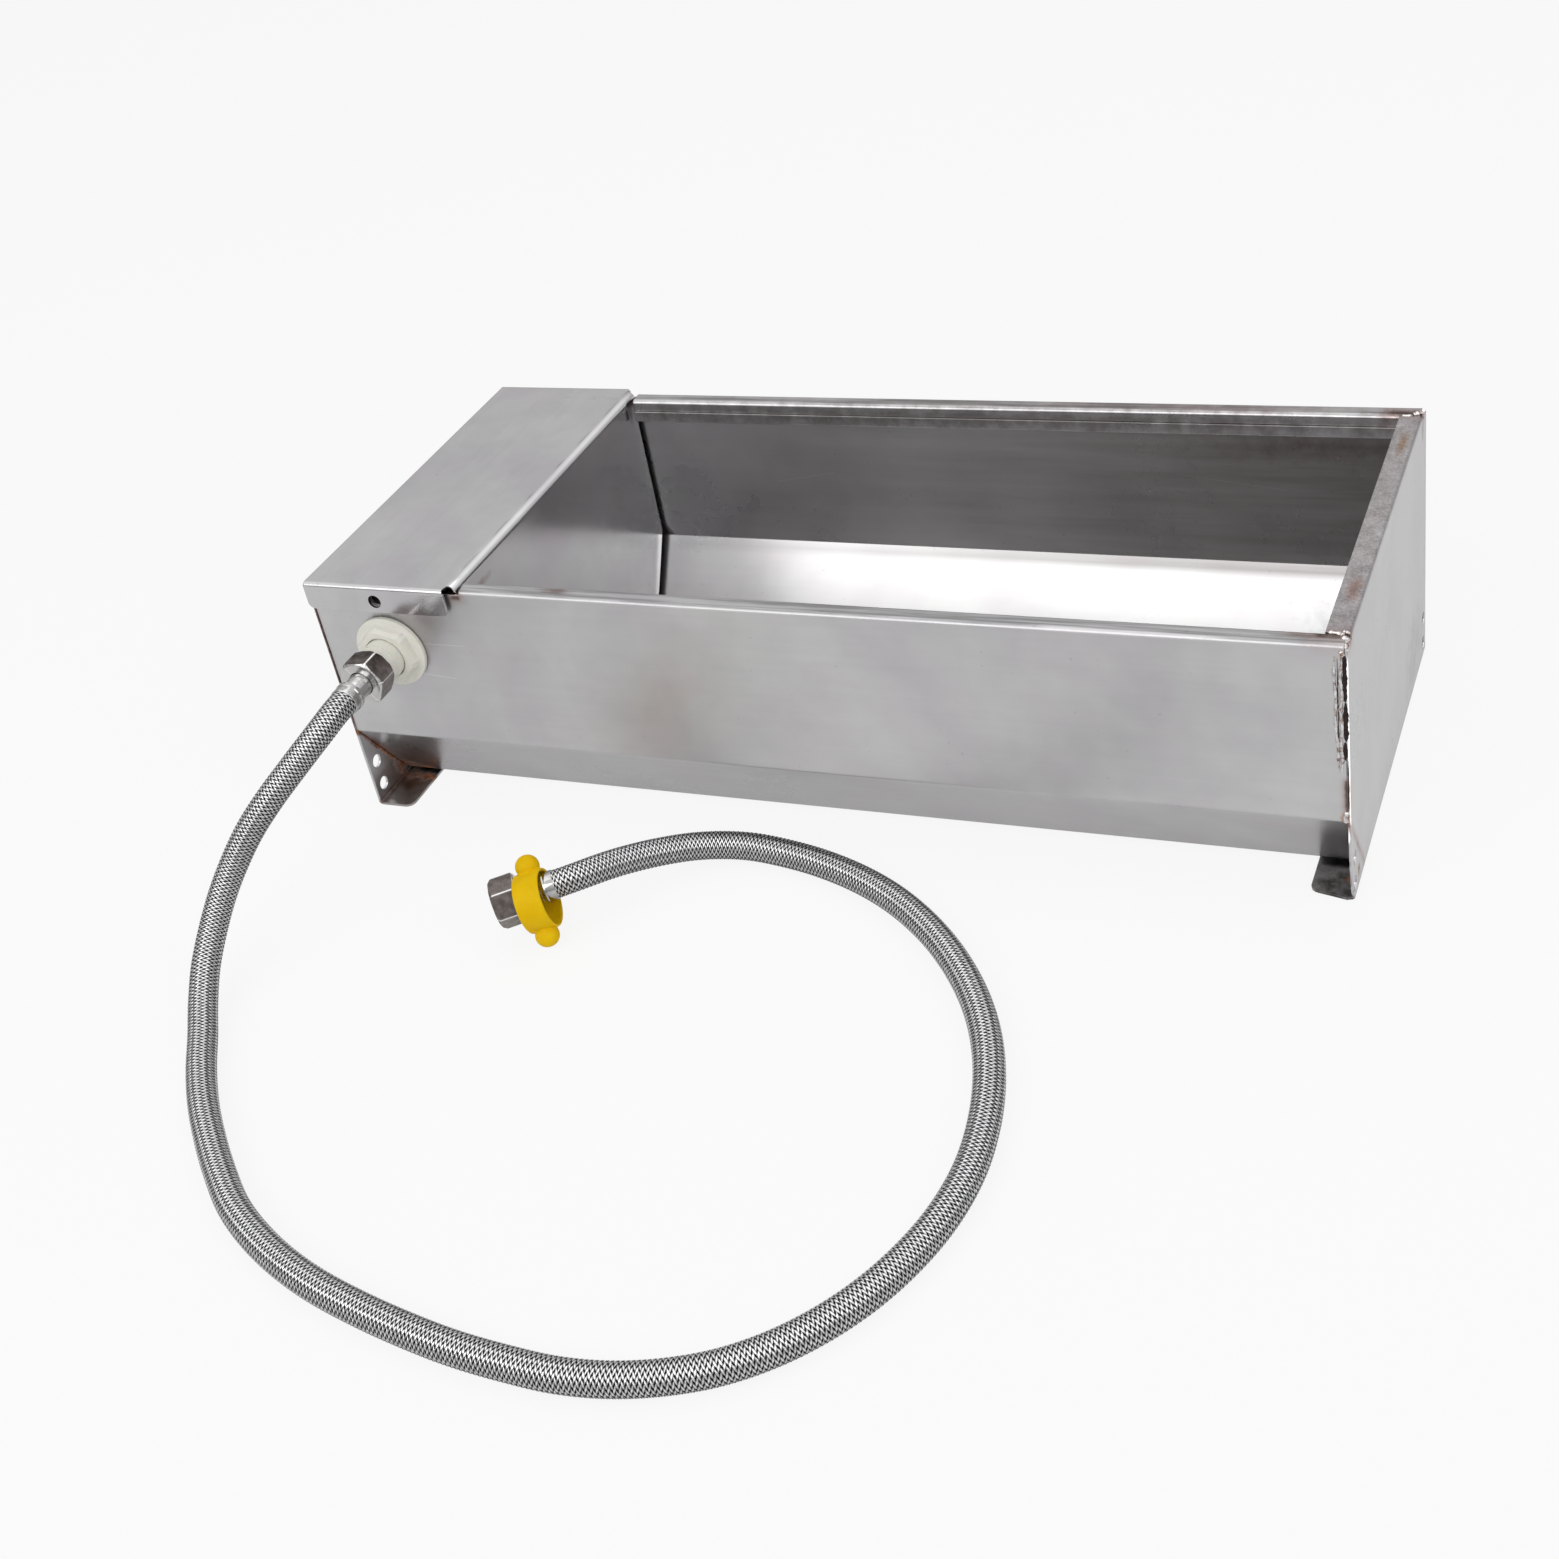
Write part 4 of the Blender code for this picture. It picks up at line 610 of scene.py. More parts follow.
def make_stainless(name, base, grain=(1, 1, 1), swell=(1, 1, 1), rough=0.18, own_marks_and_painted_light=None):
    """Mill-finished sheet: soft blotches, streaks along the grain, scratches, stains and painted shade, weld
    colours and rust.

    The function for one piece (tree, place, colour, gloss) gives back the two with what only that piece
    shows, painted light and shade among it.
    """
    made, tree, shader, place = new_material(name)
    streak = noise(tree, place, 260, 4, 0.6, grain)
    cloud = noise(tree, place, 13, 5, 0.55)
    blotch = noise(tree, place, 42, 3, 0.5)
    tone = calc(tree, "MULTIPLY_ADD", streak, 0.16, times(tree, cloud, 0.55))
    tone = calc(tree, "MULTIPLY_ADD", blotch, 0.29, tone)
    dark = (base * 0.90, base * 0.90, base * 0.915)
    light = (base * 1.08, base * 1.08, base * 1.075)
    colour = ramp(tree, tone, (0.34, dark), (0.66, light))
    gloss = calc(tree, "MULTIPLY_ADD", blotch, 0.08, calc(tree, "MULTIPLY_ADD", cloud, 0.14, rough))
    haze = spread(tree, noise(tree, place, 22, 3, 0.5), 0.40, 0.62)
    colour = tinted(tree, haze, colour, (0.955, 0.925, 0.945))
    marks = spread(tree, nearest_line(tree, place, SCRATCHES), 0.00010, 0.00022, 0.75, 0.0)
    colour = blend_colours(tree, marks, colour, (0.86, 0.86, 0.86))
    specks = spread(tree, noise(tree, place, 330, 1, 0.3), 0.76, 0.79)
    colour = blend_colours(tree, times(tree, specks, 0.16), colour, (0.16, 0.14, 0.13))
    if own_marks_and_painted_light:
        colour, gloss = own_marks_and_painted_light(tree, place, colour, gloss)
    ragged = noise(tree, place, 150, 4, 0.65)
    colour = stains_and_painted_shade(tree, place, colour, ragged)
    frayed = calc(tree, "SUBTRACT", ragged, 0.5)
    seam = calc(tree, "MULTIPLY_ADD", frayed, 0.006, nearest_line(tree, place, SEAMS_AND_FOLD_SHADE))
    heat_tint_and_fold_shade = ramp(
        tree, spread(tree, seam, 0.0, 0.009),
        (0.00, (0.24, 0.18, 0.165)), (0.13, (0.50, 0.38, 0.34)), (0.28, (0.82, 0.72, 0.69)),
        (0.50, (0.93, 0.88, 0.87)), (0.85, (1, 1, 1)),
    )
    colour = blend_colours(tree, 1.0, colour, heat_tint_and_fold_shade, "MULTIPLY")
    rust = calc(tree, "MULTIPLY_ADD", frayed, 0.012, nearest_line(tree, place, RUST))
    orange = ramp(
        tree, noise(tree, place, 420, 3, 0.6),
        (0.35, (0.07, 0.028, 0.016)), (0.50, (0.27, 0.090, 0.030)), (0.66, (0.55, 0.20, 0.045)),
    )
    colour = blend_colours(tree, spread(tree, rust, 0.0005, 0.0045, 0.95, 0.0), colour, orange)
    gloss = calc(tree, "ADD", gloss, spread(tree, rust, 0.0005, 0.0045, 0.4, 0.0))
    waves = bump(tree, noise(tree, place, 9, 2, 0.4, swell), 0.0010, 0.6)
    normal = bump(tree, streak, 0.00002, 0.5, waves)
    shade(tree, shader, colour, gloss, spread(tree, rust, 0.0005, 0.004, 0.35, 1.0), normal)
    return made


def make_chrome():
    """Plated brass: bright, with slight stains."""
    made, tree, shader, place = new_material("chrome")
    spot_tone = noise(tree, place, 220, 4, 0.6)
    colour = ramp(tree, spot_tone, (0.35, (0.36, 0.35, 0.34)), (0.62, (0.54, 0.54, 0.54)))
    shade(tree, shader, colour, spread(tree, spot_tone, 0.3, 0.7, 0.11, 0.05), 1.0)
    return made


def make_nut_plating():
    """Nickel plating: faces dark brown as a painted reflection of dark surroundings, with a painted highlight
    where the point attribute is high, on edges and ends.
    """
    made, tree, shader, place = new_material("nut_plating")
    painted_highlight = add(tree, "Attribute", attribute_name="painted_highlight").outputs["Fac"]
    cloud = noise(tree, place, 260, 4, 0.6)
    painted_dark_faces = ramp(
        tree, cloud, (0.30, (0.13, 0.110, 0.100)), (0.52, (0.22, 0.190, 0.177)), (0.72, (0.31, 0.275, 0.26)),
    )
    colour = blend_colours(tree, painted_highlight, painted_dark_faces, (0.86, 0.855, 0.85))
    shade(tree, shader, colour, calc(tree, "MULTIPLY_ADD", cloud, 0.14, 0.10), 1.0)
    return made


def make_plastic(name, colour, dark, roughness, scatter=0.0, specular=0.5):
    """Moulded plastic with cloudy colour and a fine mould grain."""
    made, tree, shader, place = new_material(name)
    cloud = noise(tree, place, 90, 4, 0.6)
    grain = bump(tree, noise(tree, place, 1400, 2), 0.00004, 0.4)
    gloss = spread(tree, cloud, 0.3, 0.7, roughness + 0.08, roughness)
    shade(tree, shader, ramp(tree, cloud, (0.3, dark), (0.65, colour)), gloss, normal=grain)
    shader.inputs["Subsurface Weight"].default_value = scatter
    shader.inputs["Subsurface Radius"].default_value = (0.003, 0.002, 0.001)
    shader.inputs["Subsurface Scale"].default_value = 0.5
    shader.inputs["Specular IOR Level"].default_value = specular
    return made


def make_brass():
    """Cast brass: cloudy yellow, dull, with a fine grain."""
    made, tree, shader, place = new_material("brass")
    cloud = noise(tree, place, 200, 4, 0.6)
    colour = ramp(tree, cloud, (0.3, (0.50, 0.36, 0.17)), (0.7, (0.74, 0.58, 0.31)))
    grain = bump(tree, noise(tree, place, 900, 3), 0.00003, 0.5)
    shade(tree, shader, colour, spread(tree, cloud, 0.3, 0.7, 0.38, 0.24), 1.0, grain)
    return made


def make_rubber():
    """Black rubber with a faint bloom."""
    made, tree, shader, place = new_material("rubber")
    cloud = noise(tree, place, 300, 4, 0.6)
    colour = ramp(tree, cloud, (0.3, (0.010, 0.010, 0.011)), (0.7, (0.028, 0.028, 0.029)))
    gloss = spread(tree, cloud, 0.3, 0.7, 0.75, 0.6)
    shade(tree, shader, colour, gloss, normal=bump(tree, cloud, 0.0001, 0.5))
    return made


def make_weld_metal():
    """Rippled weld metal: bright crests, copper and blue-brown heat colours, dark hollows."""
    made, tree, shader, place = new_material("weld_metal")
    patch = noise(tree, place, 420, 4, 0.65)
    colour = ramp(
        tree, patch, (0.30, (0.09, 0.07, 0.066)), (0.40, (0.42, 0.32, 0.28)), (0.48, (0.64, 0.61, 0.60)),
        (0.70, (0.84, 0.83, 0.83)),
    )
    ripple = bump(tree, noise(tree, place, 1500, 3), 0.0002, 0.6)
    shade(tree, shader, colour, spread(tree, patch, 0.3, 0.7, 0.45, 0.16), 1.0, ripple)
    return made


def make_slag_and_shade():
    """Burnt scale in seams, nearly black and matt; also painted shade, on the dark strips in the front
    corner's gaps and on the nuts behind the cover's screw holes.
    """
    made, tree, shader, place = new_material("slag_and_shade")
    cloud = noise(tree, place, 700, 3, 0.6)
    colour = ramp(tree, cloud, (0.3, (0.010, 0.008, 0.008)), (0.7, (0.05, 0.036, 0.032)))
    shade(tree, shader, colour, 0.6, normal=bump(tree, cloud, 0.0002, 0.6))
    shader.inputs["Specular IOR Level"].default_value = 0.12
    return made


def make_braid_wire():
    """Flat bundles of three bright wires: cos(2 pi u) is 1 where a strand passes over, v runs across it.
    Painted shade darkens each strand where it passes under, towards its edges, between its wires and on the
    hose's underside.
    """
    made, tree, shader, place = new_material("braid_wire")
    parts = add(tree, "SeparateXYZ", {0: add(tree, "UVMap", uv_map="strand").outputs[0]}).outputs
    over = calc(tree, "COSINE", times(tree, parts["X"], 2 * math.pi))
    wires = calc(tree, "ABSOLUTE", calc(tree, "SINE", times(tree, parts["Y"], math.pi * 6)))
    edge = calc(tree, "ABSOLUTE", calc(tree, "SUBTRACT", parts["Y"], 0.5))
    below = add(tree, "Attribute", attribute_name="underside_shade").outputs["Fac"]
    bright = ramp(tree, noise(tree, place, 500, 2, 0.5), (0.3, (0.64, 0.64, 0.65)), (0.7, (0.92, 0.92, 0.93)))
    painted_shade = times(
        tree, spread(tree, over, -0.5, 0.65, 0.02, 1.0), spread(tree, edge, 0.16, 0.40, 1.0, 0.02),
        spread(tree, wires, 0.0, 0.4, 0.6, 1.0), spread(tree, below, 0.0, 1.0, 1.0, 0.45),
    )
    colour = blend_colours(tree, 1.0, bright, painted_shade, "MULTIPLY")
    shade(tree, shader, colour, 0.17, 1.0, bump(tree, wires, 0.00005, 0.6))
    return made


stainless = make_stainless("stainless", 0.60, (0.04, 1, 1), own_marks_and_painted_light=trough_marks_and_shade)
panel_stainless = make_stainless("panel_stainless", 0.63, (1, 1, 0.04), (4, 4, 0.6), own_marks_and_painted_light=flange_marks)
cover_stainless = make_stainless("cover_stainless", 0.58, (1, 0.04, 0.3), rough=0.08, own_marks_and_painted_light=flap_painted_light)
plain_stainless = make_stainless("plain_stainless", 0.5)
chrome = make_chrome()
nut_plating = make_nut_plating()
ivory = make_plastic("ivory_plastic", (0.82, 0.81, 0.745), (0.77, 0.755, 0.68), 0.30, 0.15)
yellow = make_plastic("yellow_plastic", (0.84, 0.55, 0.002), (0.78, 0.47, 0.001), 0.45, 0.10, 0.10)
float_plastic = make_plastic("float_plastic", (0.80, 0.80, 0.78), (0.72, 0.72, 0.70), 0.4, 0.2)
brass = make_brass()
rubber = make_rubber()
weld_metal = make_weld_metal()
slag_and_shade = make_slag_and_shade()
braid_wire = make_braid_wire()


# Hose
def smooth_route(points, first, last, step):
    """Hermite pieces: p = a (1+2t)(1-t)^2 + m t (1-t)^2 + b t^2 (3-2t) - n t^2 (1-t), read every step."""
    points = np.asarray(points, float)
    legs = np.diff(points, axis=0)
    spans = np.linalg.norm(legs, axis=1)
    ratio = (spans[1:] / spans[:-1])[:, None]
    inner = (legs[:-1] * ratio + legs[1:] / ratio) / (spans[1:] + spans[:-1])[:, None]
    slopes = np.concatenate([[first], inner, [last]])
    t = np.linspace(0, 1, 24, endpoint=False)[None, :, None]
    a, b = points[:-1, None], points[1:, None]
    m, n = slopes[:-1, None] * spans[:, None, None], slopes[1:, None] * spans[:, None, None]
    fine = a * (1 + 2 * t) * (1 - t) ** 2 + m * t * (1 - t) ** 2 + b * t**2 * (3 - 2 * t) - n * t**2 * (1 - t)
    fine = np.concatenate([fine.reshape(-1, 3), points[-1:]])
    return read_every(fine, step)


def supply_frame():
    """Turn and place of the supply fitting: local Z runs to the hose, local Y to the upper knob."""
    along = Vector(SUPPLY_DIRECTION).normalized()
    knobs = Vector(SUPPLY_LOBES)
    knobs = (knobs - along * knobs.dot(along)).normalized()
    turn = Matrix((knobs.cross(along), knobs, along)).transposed().to_4x4()
    mouth = Vector(SUPPLY_MOUTH) + SHIFT
    return Matrix.Translation(mouth) @ turn, np.array(along)


SUPPLY, SUPPLY_WAY = supply_frame()
INLET = Matrix.Translation((VALVE_X, FRONT, VALVE_HEIGHT)) @ Matrix.Rotation(math.pi / 2, 4, "X")


def hose_line(step, sink):
    """The hose's middle line, with sink metres more inside the ferrule at each end."""
    shift = np.array([0, TROUGH_Y, 0])
    start = np.array(HOSE_EXIT) + shift
    end = np.array(SUPPLY.translation) + SUPPLY_WAY * SUPPLY_HOSE_START
    out = np.array([0.0, -1.0, 0.0])
    route = [start + out * HOSE_LEAD, *(np.array(HOSE_ROUTE) + shift), end + SUPPLY_WAY * HOSE_LEAD]
    bends = smooth_route(route, out, -SUPPLY_WAY, step)
    straight = np.linspace(0, 1, 4, endpoint=False)[:, None]
    head = start - out * sink + (bends[0] - start + out * sink) * straight
    tail = bends[-1] + (end - SUPPLY_WAY * sink - bends[-1]) * (1 - straight[::-1])
    return read_every(np.concatenate([head, bends, tail]), step)


def carried_frame(line, over=(0, 0, 1)):
    """Two directions across the line at each point, carried along it with the least turning."""
    ways = np.gradient(line, axis=0)
    ways /= np.linalg.norm(ways, axis=1)[:, None]
    side = np.cross(ways[0], over)
    sides = []
    for way in ways:
        side = side - way * (side @ way)
        side = side / np.linalg.norm(side)
        sides.append(side)
    sides = np.array(sides)
    return sides, np.cross(ways, sides)


def ring_around(side, up, angle):
    """Directions away from the line, each at its angle from side towards up."""
    return np.cos(angle)[..., None] * side + np.sin(angle)[..., None] * up


def make_core(line, side, up):
    """The dark tube under the braid, shut at both ends, with a ring at every sixth point of the line."""
    thin = slice(None, None, 6)
    turns = np.linspace(0, 2 * math.pi, CORE_SIDES, endpoint=False)
    tube = line[thin, None] + CORE_RADIUS * ring_around(side[thin, None], up[thin, None], turns)
    quads = grid_quads(len(tube), CORE_SIDES, wrap_columns=True)
    made = mesh_object("hose_core", tube.reshape(-1, 3), quads)
    with editing(made.data) as shape:
        for end in (tube[0], tube[-1][::-1]):
            shape.faces.new([shape.verts.new(point) for point in end])
    return finish_piece(weld_points(made), rubber, "hose")


def make_lay(name, lay, line, side, up):
    """Flat strands wound one way, which pass over and under those wound the other way.

    Strand k: angle = 2 pi k / n + lay pi u / n, radius = r + lay a cos(pi u), where lay is 1 or -1
    and u = s / CROSSING_STEP counts the crossings along the hose.
    """
    u = np.arange(len(line)) / 2
    k = np.arange(STRANDS_EACH_WAY)[:, None]
    middle = 2 * math.pi * k / STRANDS_EACH_WAY + lay * math.pi * u / STRANDS_EACH_WAY
    height = STRAND_RADIUS + lay * STRAND_WAVE * np.cos(math.pi * u)
    lean = math.pi * STRAND_RADIUS / (STRANDS_EACH_WAY * CROSSING_STEP)
    half_angle = STRAND_WIDTH / 2 / STRAND_RADIUS * math.hypot(1, lean)
    across = np.array([-1.0, -0.42, 0.42, 1.0])
    radius = height[:, None] + STRAND_CROWN * (1 - across**2) - STRAND_CROWN / 2
    out = ring_around(side[:, None], up[:, None], middle[..., None] + across * half_angle)
    points = line[:, None] + radius[..., None] * out
    strand = grid_quads(len(line), len(across))
    quads = np.concatenate([strand + number * radius.size for number in range(STRANDS_EACH_WAY)])
    made = mesh_object(name, points.reshape(-1, 3), quads, 180)
    along = np.broadcast_to((u / 2 + (lay < 0) / 2)[:, None], points.shape[:3])
    width = np.broadcast_to((across + 1) / 2, points.shape[:3])
    uv = np.stack([along.ravel(), width.ravel()], axis=1)[quads.ravel()]
    made.data.uv_layers.new(name="strand").data.foreach_set("uv", uv.astype(np.float32).ravel())
    # Painted shade on the hose's underside, and on its side that faces +Y.
    below = np.clip(-out[..., 2] * 1.6 - 0.1, 0, 1) + np.clip((out[..., 1] - 0.75) * 4, 0, 0.8)
    point_values(made, "underside_shade", np.clip(below, 0, 1))
    return finish_piece(made, braid_wire)


core_line = hose_line(CROSSING_STEP / 2, HOSE_IN_FERRULE)
core_frame = carried_frame(core_line)
core = make_core(core_line, *core_frame)
strands = [
    make_lay("braid_right_lay", 1, core_line, *core_frame),
    make_lay("braid_left_lay", -1, core_line, *core_frame),
]


# Sheet metal
def basin_line():
    """Middle line of the trough's section: hem, lip, rim, wall, slope and half the floor, twice."""
    wall = HALF_WIDTH - SHEET / 2
    lip = HALF_WIDTH - RIM_WIDTH + SHEET / 2
    hem = lip - SHEET - HEM_GAP
    lip_end = HEIGHT - LIP_HEIGHT + SHEET / 2
    half = [
        (hem, HEIGHT - LIP_HEIGHT + HEM_HEIGHT), (hem, lip_end), (lip, lip_end),
        (lip, HEIGHT - SHEET / 2), (wall, HEIGHT - SHEET / 2), (wall, WALL_BEND_HEIGHT),
        (FLOOR_HALF_WIDTH, FLOOR_HEIGHT + SHEET / 2),
    ]
    return fillet([(-y, z) for y, z in half] + half[::-1], BEND_RADIUS)


def place_along_x(section, station):
    """The section y, z at the station x."""
    return np.stack([station, section[:, 0] + TROUGH_Y, section[:, 1]], axis=1)


def place_along_y(section, station):
    """The section x, z at the station y."""
    return np.stack([section[:, 0], station + TROUGH_Y, section[:, 1]], axis=1)


def make_trough():
    """The section y, z carried along x; left of the rims only the walls and what is under them stay."""
    line = basin_line()
    stops = travelled(line)
    wall = HALF_WIDTH - SHEET / 2
    front_top = stops[np.argmin(np.hypot(line[:, 0] + wall, line[:, 1] - BARE_WALL_TOP))]
    back_top = stops[np.argmin(np.hypot(line[:, 0] - wall, line[:, 1] - BARE_WALL_TOP))]
    stations = supported(np.array([-SHELL_END, RIM_START_X, SHELL_END]))
    drop = BARE_WALL_TOP - SCREW_HEIGHT
    holes = [
        (front_top + BARE_WALL_TOP - VALVE_HEIGHT, VALVE_X, VALVE_HOLE_RADIUS, VALVE_HOLE_CELL),
        (front_top + drop, VALVE_X, SCREW_HOLE_RADIUS, WALL_HOLE_CELL),
        (back_top - drop, VALVE_X, SCREW_HOLE_RADIUS, WALL_HOLE_CELL),
    ]

    def keep(s, t):
        return (t > RIM_START_X) | ((s > front_top) & (s < back_top))

    obj = sheet_metal("trough_sheet", line, stations, place_along_x, holes, keep)
    return finish_piece(obj, stainless, "trough_shell")


def panel_section(side):
    """Middle line of a panel's section x, z: top flange, plate and foot, where side is -1 or 1."""
    plate_x = HALF_LENGTH - SHEET / 2
    corners = [
        (HALF_LENGTH - TOP_FLANGE, HEIGHT - SHEET / 2), (plate_x, HEIGHT - SHEET / 2),
        (plate_x, SHEET / 2), (HALF_LENGTH - FOOT_FLANGE, SHEET / 2),
    ]
    return fillet([(side * x, z) for x, z in corners], BEND_RADIUS)


def plate_start(line):
    """How far along a panel's line its plate starts, and the height there."""
    stops = travelled(line)
    start = stops[np.argmax(abs(line[:, 0]) > HALF_LENGTH - SHEET / 2 - 1e-6)]
    return start, float(np.interp(start, stops, line[:, 1]))


def panel_holes(line):
    """Four holes, given by how far along the line each of them lies."""
    plate_top, top_z = plate_start(line)
    return [(plate_top + top_z - z, y, PANEL_HOLE_RADIUS, HOLE_CELL) for z, y in PANEL_HOLES]


def make_left_panel():
    """The section x, z carried along y, with the foot's free corners rounded."""
    line = panel_section(-1)
    length = travelled(line)[-1]
    corner = 0.0045
    rounding = HALF_WIDTH - corner * np.linspace(0, 1, 8)
    stations = np.concatenate([supported(np.array([-HALF_WIDTH, HALF_WIDTH])), rounding, -rounding])

    def trim(s, t):
        past = np.clip((s - length + corner) / corner, 0, 1)
        half = HALF_WIDTH - corner * (1 - np.sqrt(1 - past**2))
        return s, np.clip(t, -half, half)

    rows = length - corner + corner * np.sin(np.linspace(0, math.pi / 2, 9))
    holes = panel_holes(line)
    obj = sheet_metal("left_panel", line, stations, place_along_y, holes, trim=trim, extra=rows)
    return finish_piece(obj, stainless, "left_end_panel")


def make_right_panel():
    """As the left panel, but its flange fits between the rims, and its front edge draws back near the ground.

    setback says how far the front edge lies behind the wall at each of the knots along the line.
    """
    line = panel_section(1)
    length = travelled(line)[-1]
    plate_top, top_z = plate_start(line)
    stations = supported(np.array([-HALF_WIDTH, -FLANGE_HALF_WIDTH, FLANGE_HALF_WIDTH, HALF_WIDTH]))
    stations = np.concatenate([stations, np.linspace(-HALF_WIDTH, -0.094, 14)])
    heights = np.array([0.034, 0.028, 0.022, 0.017, 0.013, 0.009, 0.006, 0.0035, 0.001])
    foot = length - np.array([0.0180, 0.0165, 0.004, 0.0022, 0.0009, 0])
    knots = np.concatenate([plate_top + top_z - heights, foot])
    setback = np.array([
        0, 0.0002, 0.0006, 0.0012, 0.0019, 0.0028, 0.0038, 0.0050, 0.0062,
        0.0064, 0.0058, 0.0085, 0.0091, 0.0101, 0.0122,
    ])

    def keep(s, t):
        return (s > plate_top) | (abs(t) < FLANGE_HALF_WIDTH)

    def trim(s, t):
        return s, np.maximum(t, -HALF_WIDTH + np.interp(s, knots, setback))

    holes = panel_holes(line)
    obj = sheet_metal("right_panel", line, stations, place_along_y, holes, keep, trim, extra=knots[:-1])
    return finish_piece(obj, panel_stainless, "right_end_panel")


def make_roof():
    """Skirts and top, with round corners on the right, cut ones on the left and a notch beside the tab."""
    face = SKIRT_FACE - SHEET / 2
    corners = [(-face, SKIRT_BOTTOM), (-face, ROOF), (face, ROOF), (face, SKIRT_BOTTOM)]
    line = fillet(corners, COVER_BEND - SHEET / 2)
    stops = travelled(line)
    length = stops[-1]
    screw = SCREW_HEIGHT - SKIRT_BOTTOM
    holes = [(s, VALVE_X, SCREW_HOLE_RADIUS, HOLE_CELL) for s in (screw, length - screw)]
    corner, chamfer, relief = 0.003, 0.002, 0.003
    notch_x, notch_y, deepest = -0.16775, 0.105, -0.1708
    stations = supported(np.array([COVER_LEFT, SKIRT_END]))
    stations = np.concatenate([stations, SKIRT_END - corner * np.linspace(0, 1, 7), [COVER_LEFT + chamfer]])

    def trim(s, t):
        from_edge = np.minimum(s, length - s)
        dip = np.clip(1 - from_edge / corner, 0, 1)
        right = SKIRT_END - corner * (1 - np.sqrt(1 - dip**2))
        y, z = read_at(line, s).T
        bite = np.clip(1 - ((abs(y) - notch_y) / relief) ** 2, 0, 1)
        beside_tab = (z > COVER_TOP - COVER_BEND) & (abs(y) > TAB_HALF_WIDTH)
        notch = np.where(beside_tab, notch_x - relief * np.sqrt(bite), SKIRT_END)
        left = COVER_LEFT + np.clip(chamfer - from_edge, 0, chamfer)
        return s, np.clip(t, left, np.minimum(right, np.maximum(notch, deepest)))

    fan = corner * (1 - np.cos(np.linspace(0, math.pi / 2, 9)))
    rows = np.concatenate([fan, length - fan, [chamfer, length - chamfer], length / 2 + TAB])
    return sheet_metal("cover_roof", line, stations, place_along_x, holes, trim=trim, thick=False, extra=rows)


def make_flap():
    """The tab bent down into the basin, at each height as wide as the basin leaves room for."""
    x = FLAP_X - SHEET / 2
    line = fillet([(SKIRT_END - 0.002, ROOF), (x, ROOF), (x, FLAP_BOTTOM)], 0.0030)
    line[0, 0] = SKIRT_END
    heights = np.array([FLAP_BOTTOM, 0.0518, 0.1263, 0.1303, 0.2])
    halves = np.array([0.071, 0.0998, 0.0998, TAB_HALF_WIDTH, TAB_HALF_WIDTH])
    rows = travelled(line)[-1] - (heights[1:4] - FLAP_BOTTOM)

    def place(section, share):
        return place_along_y(section, share * np.interp(section[:, 1], heights, halves))

    return sheet_metal("cover_flap", line, TAB / TAB_HALF_WIDTH, place, thick=False, extra=rows)


def make_cover():
    """Roof and flap joined along the tab's edge, then given their thickness together."""
    cover = weld_points(join("cover", make_roof(), make_flap()), 3e-6)
    cover.data.set_sharp_from_angle(angle=math.radians(40))
    give_thickness(cover, even=True)
    return finish_piece(cover, cover_stainless, "valve_cover", body="cover")


make_trough()
make_left_panel()
make_right_panel()
make_cover()


# Fittings
def rounded_profile(corners, radius, steps=5):
    """A closed profile with its corners rounded."""
    corners = np.asarray(corners, float)
    start = (corners[:1] + corners[-1:]) / 2
    return fillet(np.concatenate([start, corners, start]), radius, steps)[:-1]


def make_backnut():
    """Flange and six-sided body: r is the lesser of the profile's and a soft hexagon's.

    The hexagon fades in above the flange and draws in towards the front.
    """
    bore, flange, shoulder, tip, front = 0.0108, 0.019, 0.0178, 0.0150, 0.0086
    half_flats, half_corners, easing = 0.0147, 0.0172, 0.0012
    profile = rounded_profile([
        (bore, front), (bore, 0.0003), (flange, 0.0003), (flange, 0.0031), (shoulder, 0.0034),
        (shoulder, 0.0060), (tip, front),
    ], 0.0008)

    def radius_at(r, z, a):
        off = (a - math.radians(45) + math.pi) % (math.pi / 3)
        off = np.minimum(off, math.pi / 3 - off)
        side = half_flats / np.cos(math.pi / 6 - off)
        corner = half_corners - easing * np.exp(-((off / 0.16) ** 2))
        body = np.minimum(side, corner) - 0.0014 * np.clip((z - 0.0046) / 0.004, 0, 1) ** 2
        above = np.clip((z - 0.0030) / 0.0006, 0, 1)
        return np.where(r > body, r + (body - r) * above, r)

    obj = turned("wall_nut", profile, INLET, 144, radius_at)
    return finish_piece(obj, ivory, "inlet_backnut")


def off_face(a, turn):
    """Angle from the middle of the nearest of six faces."""
    return (a - turn + math.pi / 6) % (math.pi / 3) - math.pi / 6


def hexagon_limit(a, turn, flats):
    """Distance from the middle to the side of a hexagon in direction a, with its corners eased."""
    return np.minimum(flats / 2 / np.cos(off_face(a, turn)), flats / 2 / math.cos(math.pi / 6) * 0.985)


def paint_nut_highlights(obj, turn, end):
    """Painted highlight along the hexagon's corners, and half as much on the end towards the hose."""
    points = np.empty(3 * len(obj.data.vertices), np.float32)
    obj.data.vertices.foreach_get("co", points)
    x, y, z = points.reshape(-1, 3).T
    from_corner = NUT_FLATS / 2 * (math.tan(math.pi / 6) - np.tan(abs(off_face(np.arctan2(y, x), turn))))
    on_corners = np.clip(1.3 - from_corner / 0.00045, 0, 1)
    point_values(obj, "painted_highlight", np.maximum(on_corners, np.clip((z - end + 0.0009) / 0.0006, 0, 0.55)))


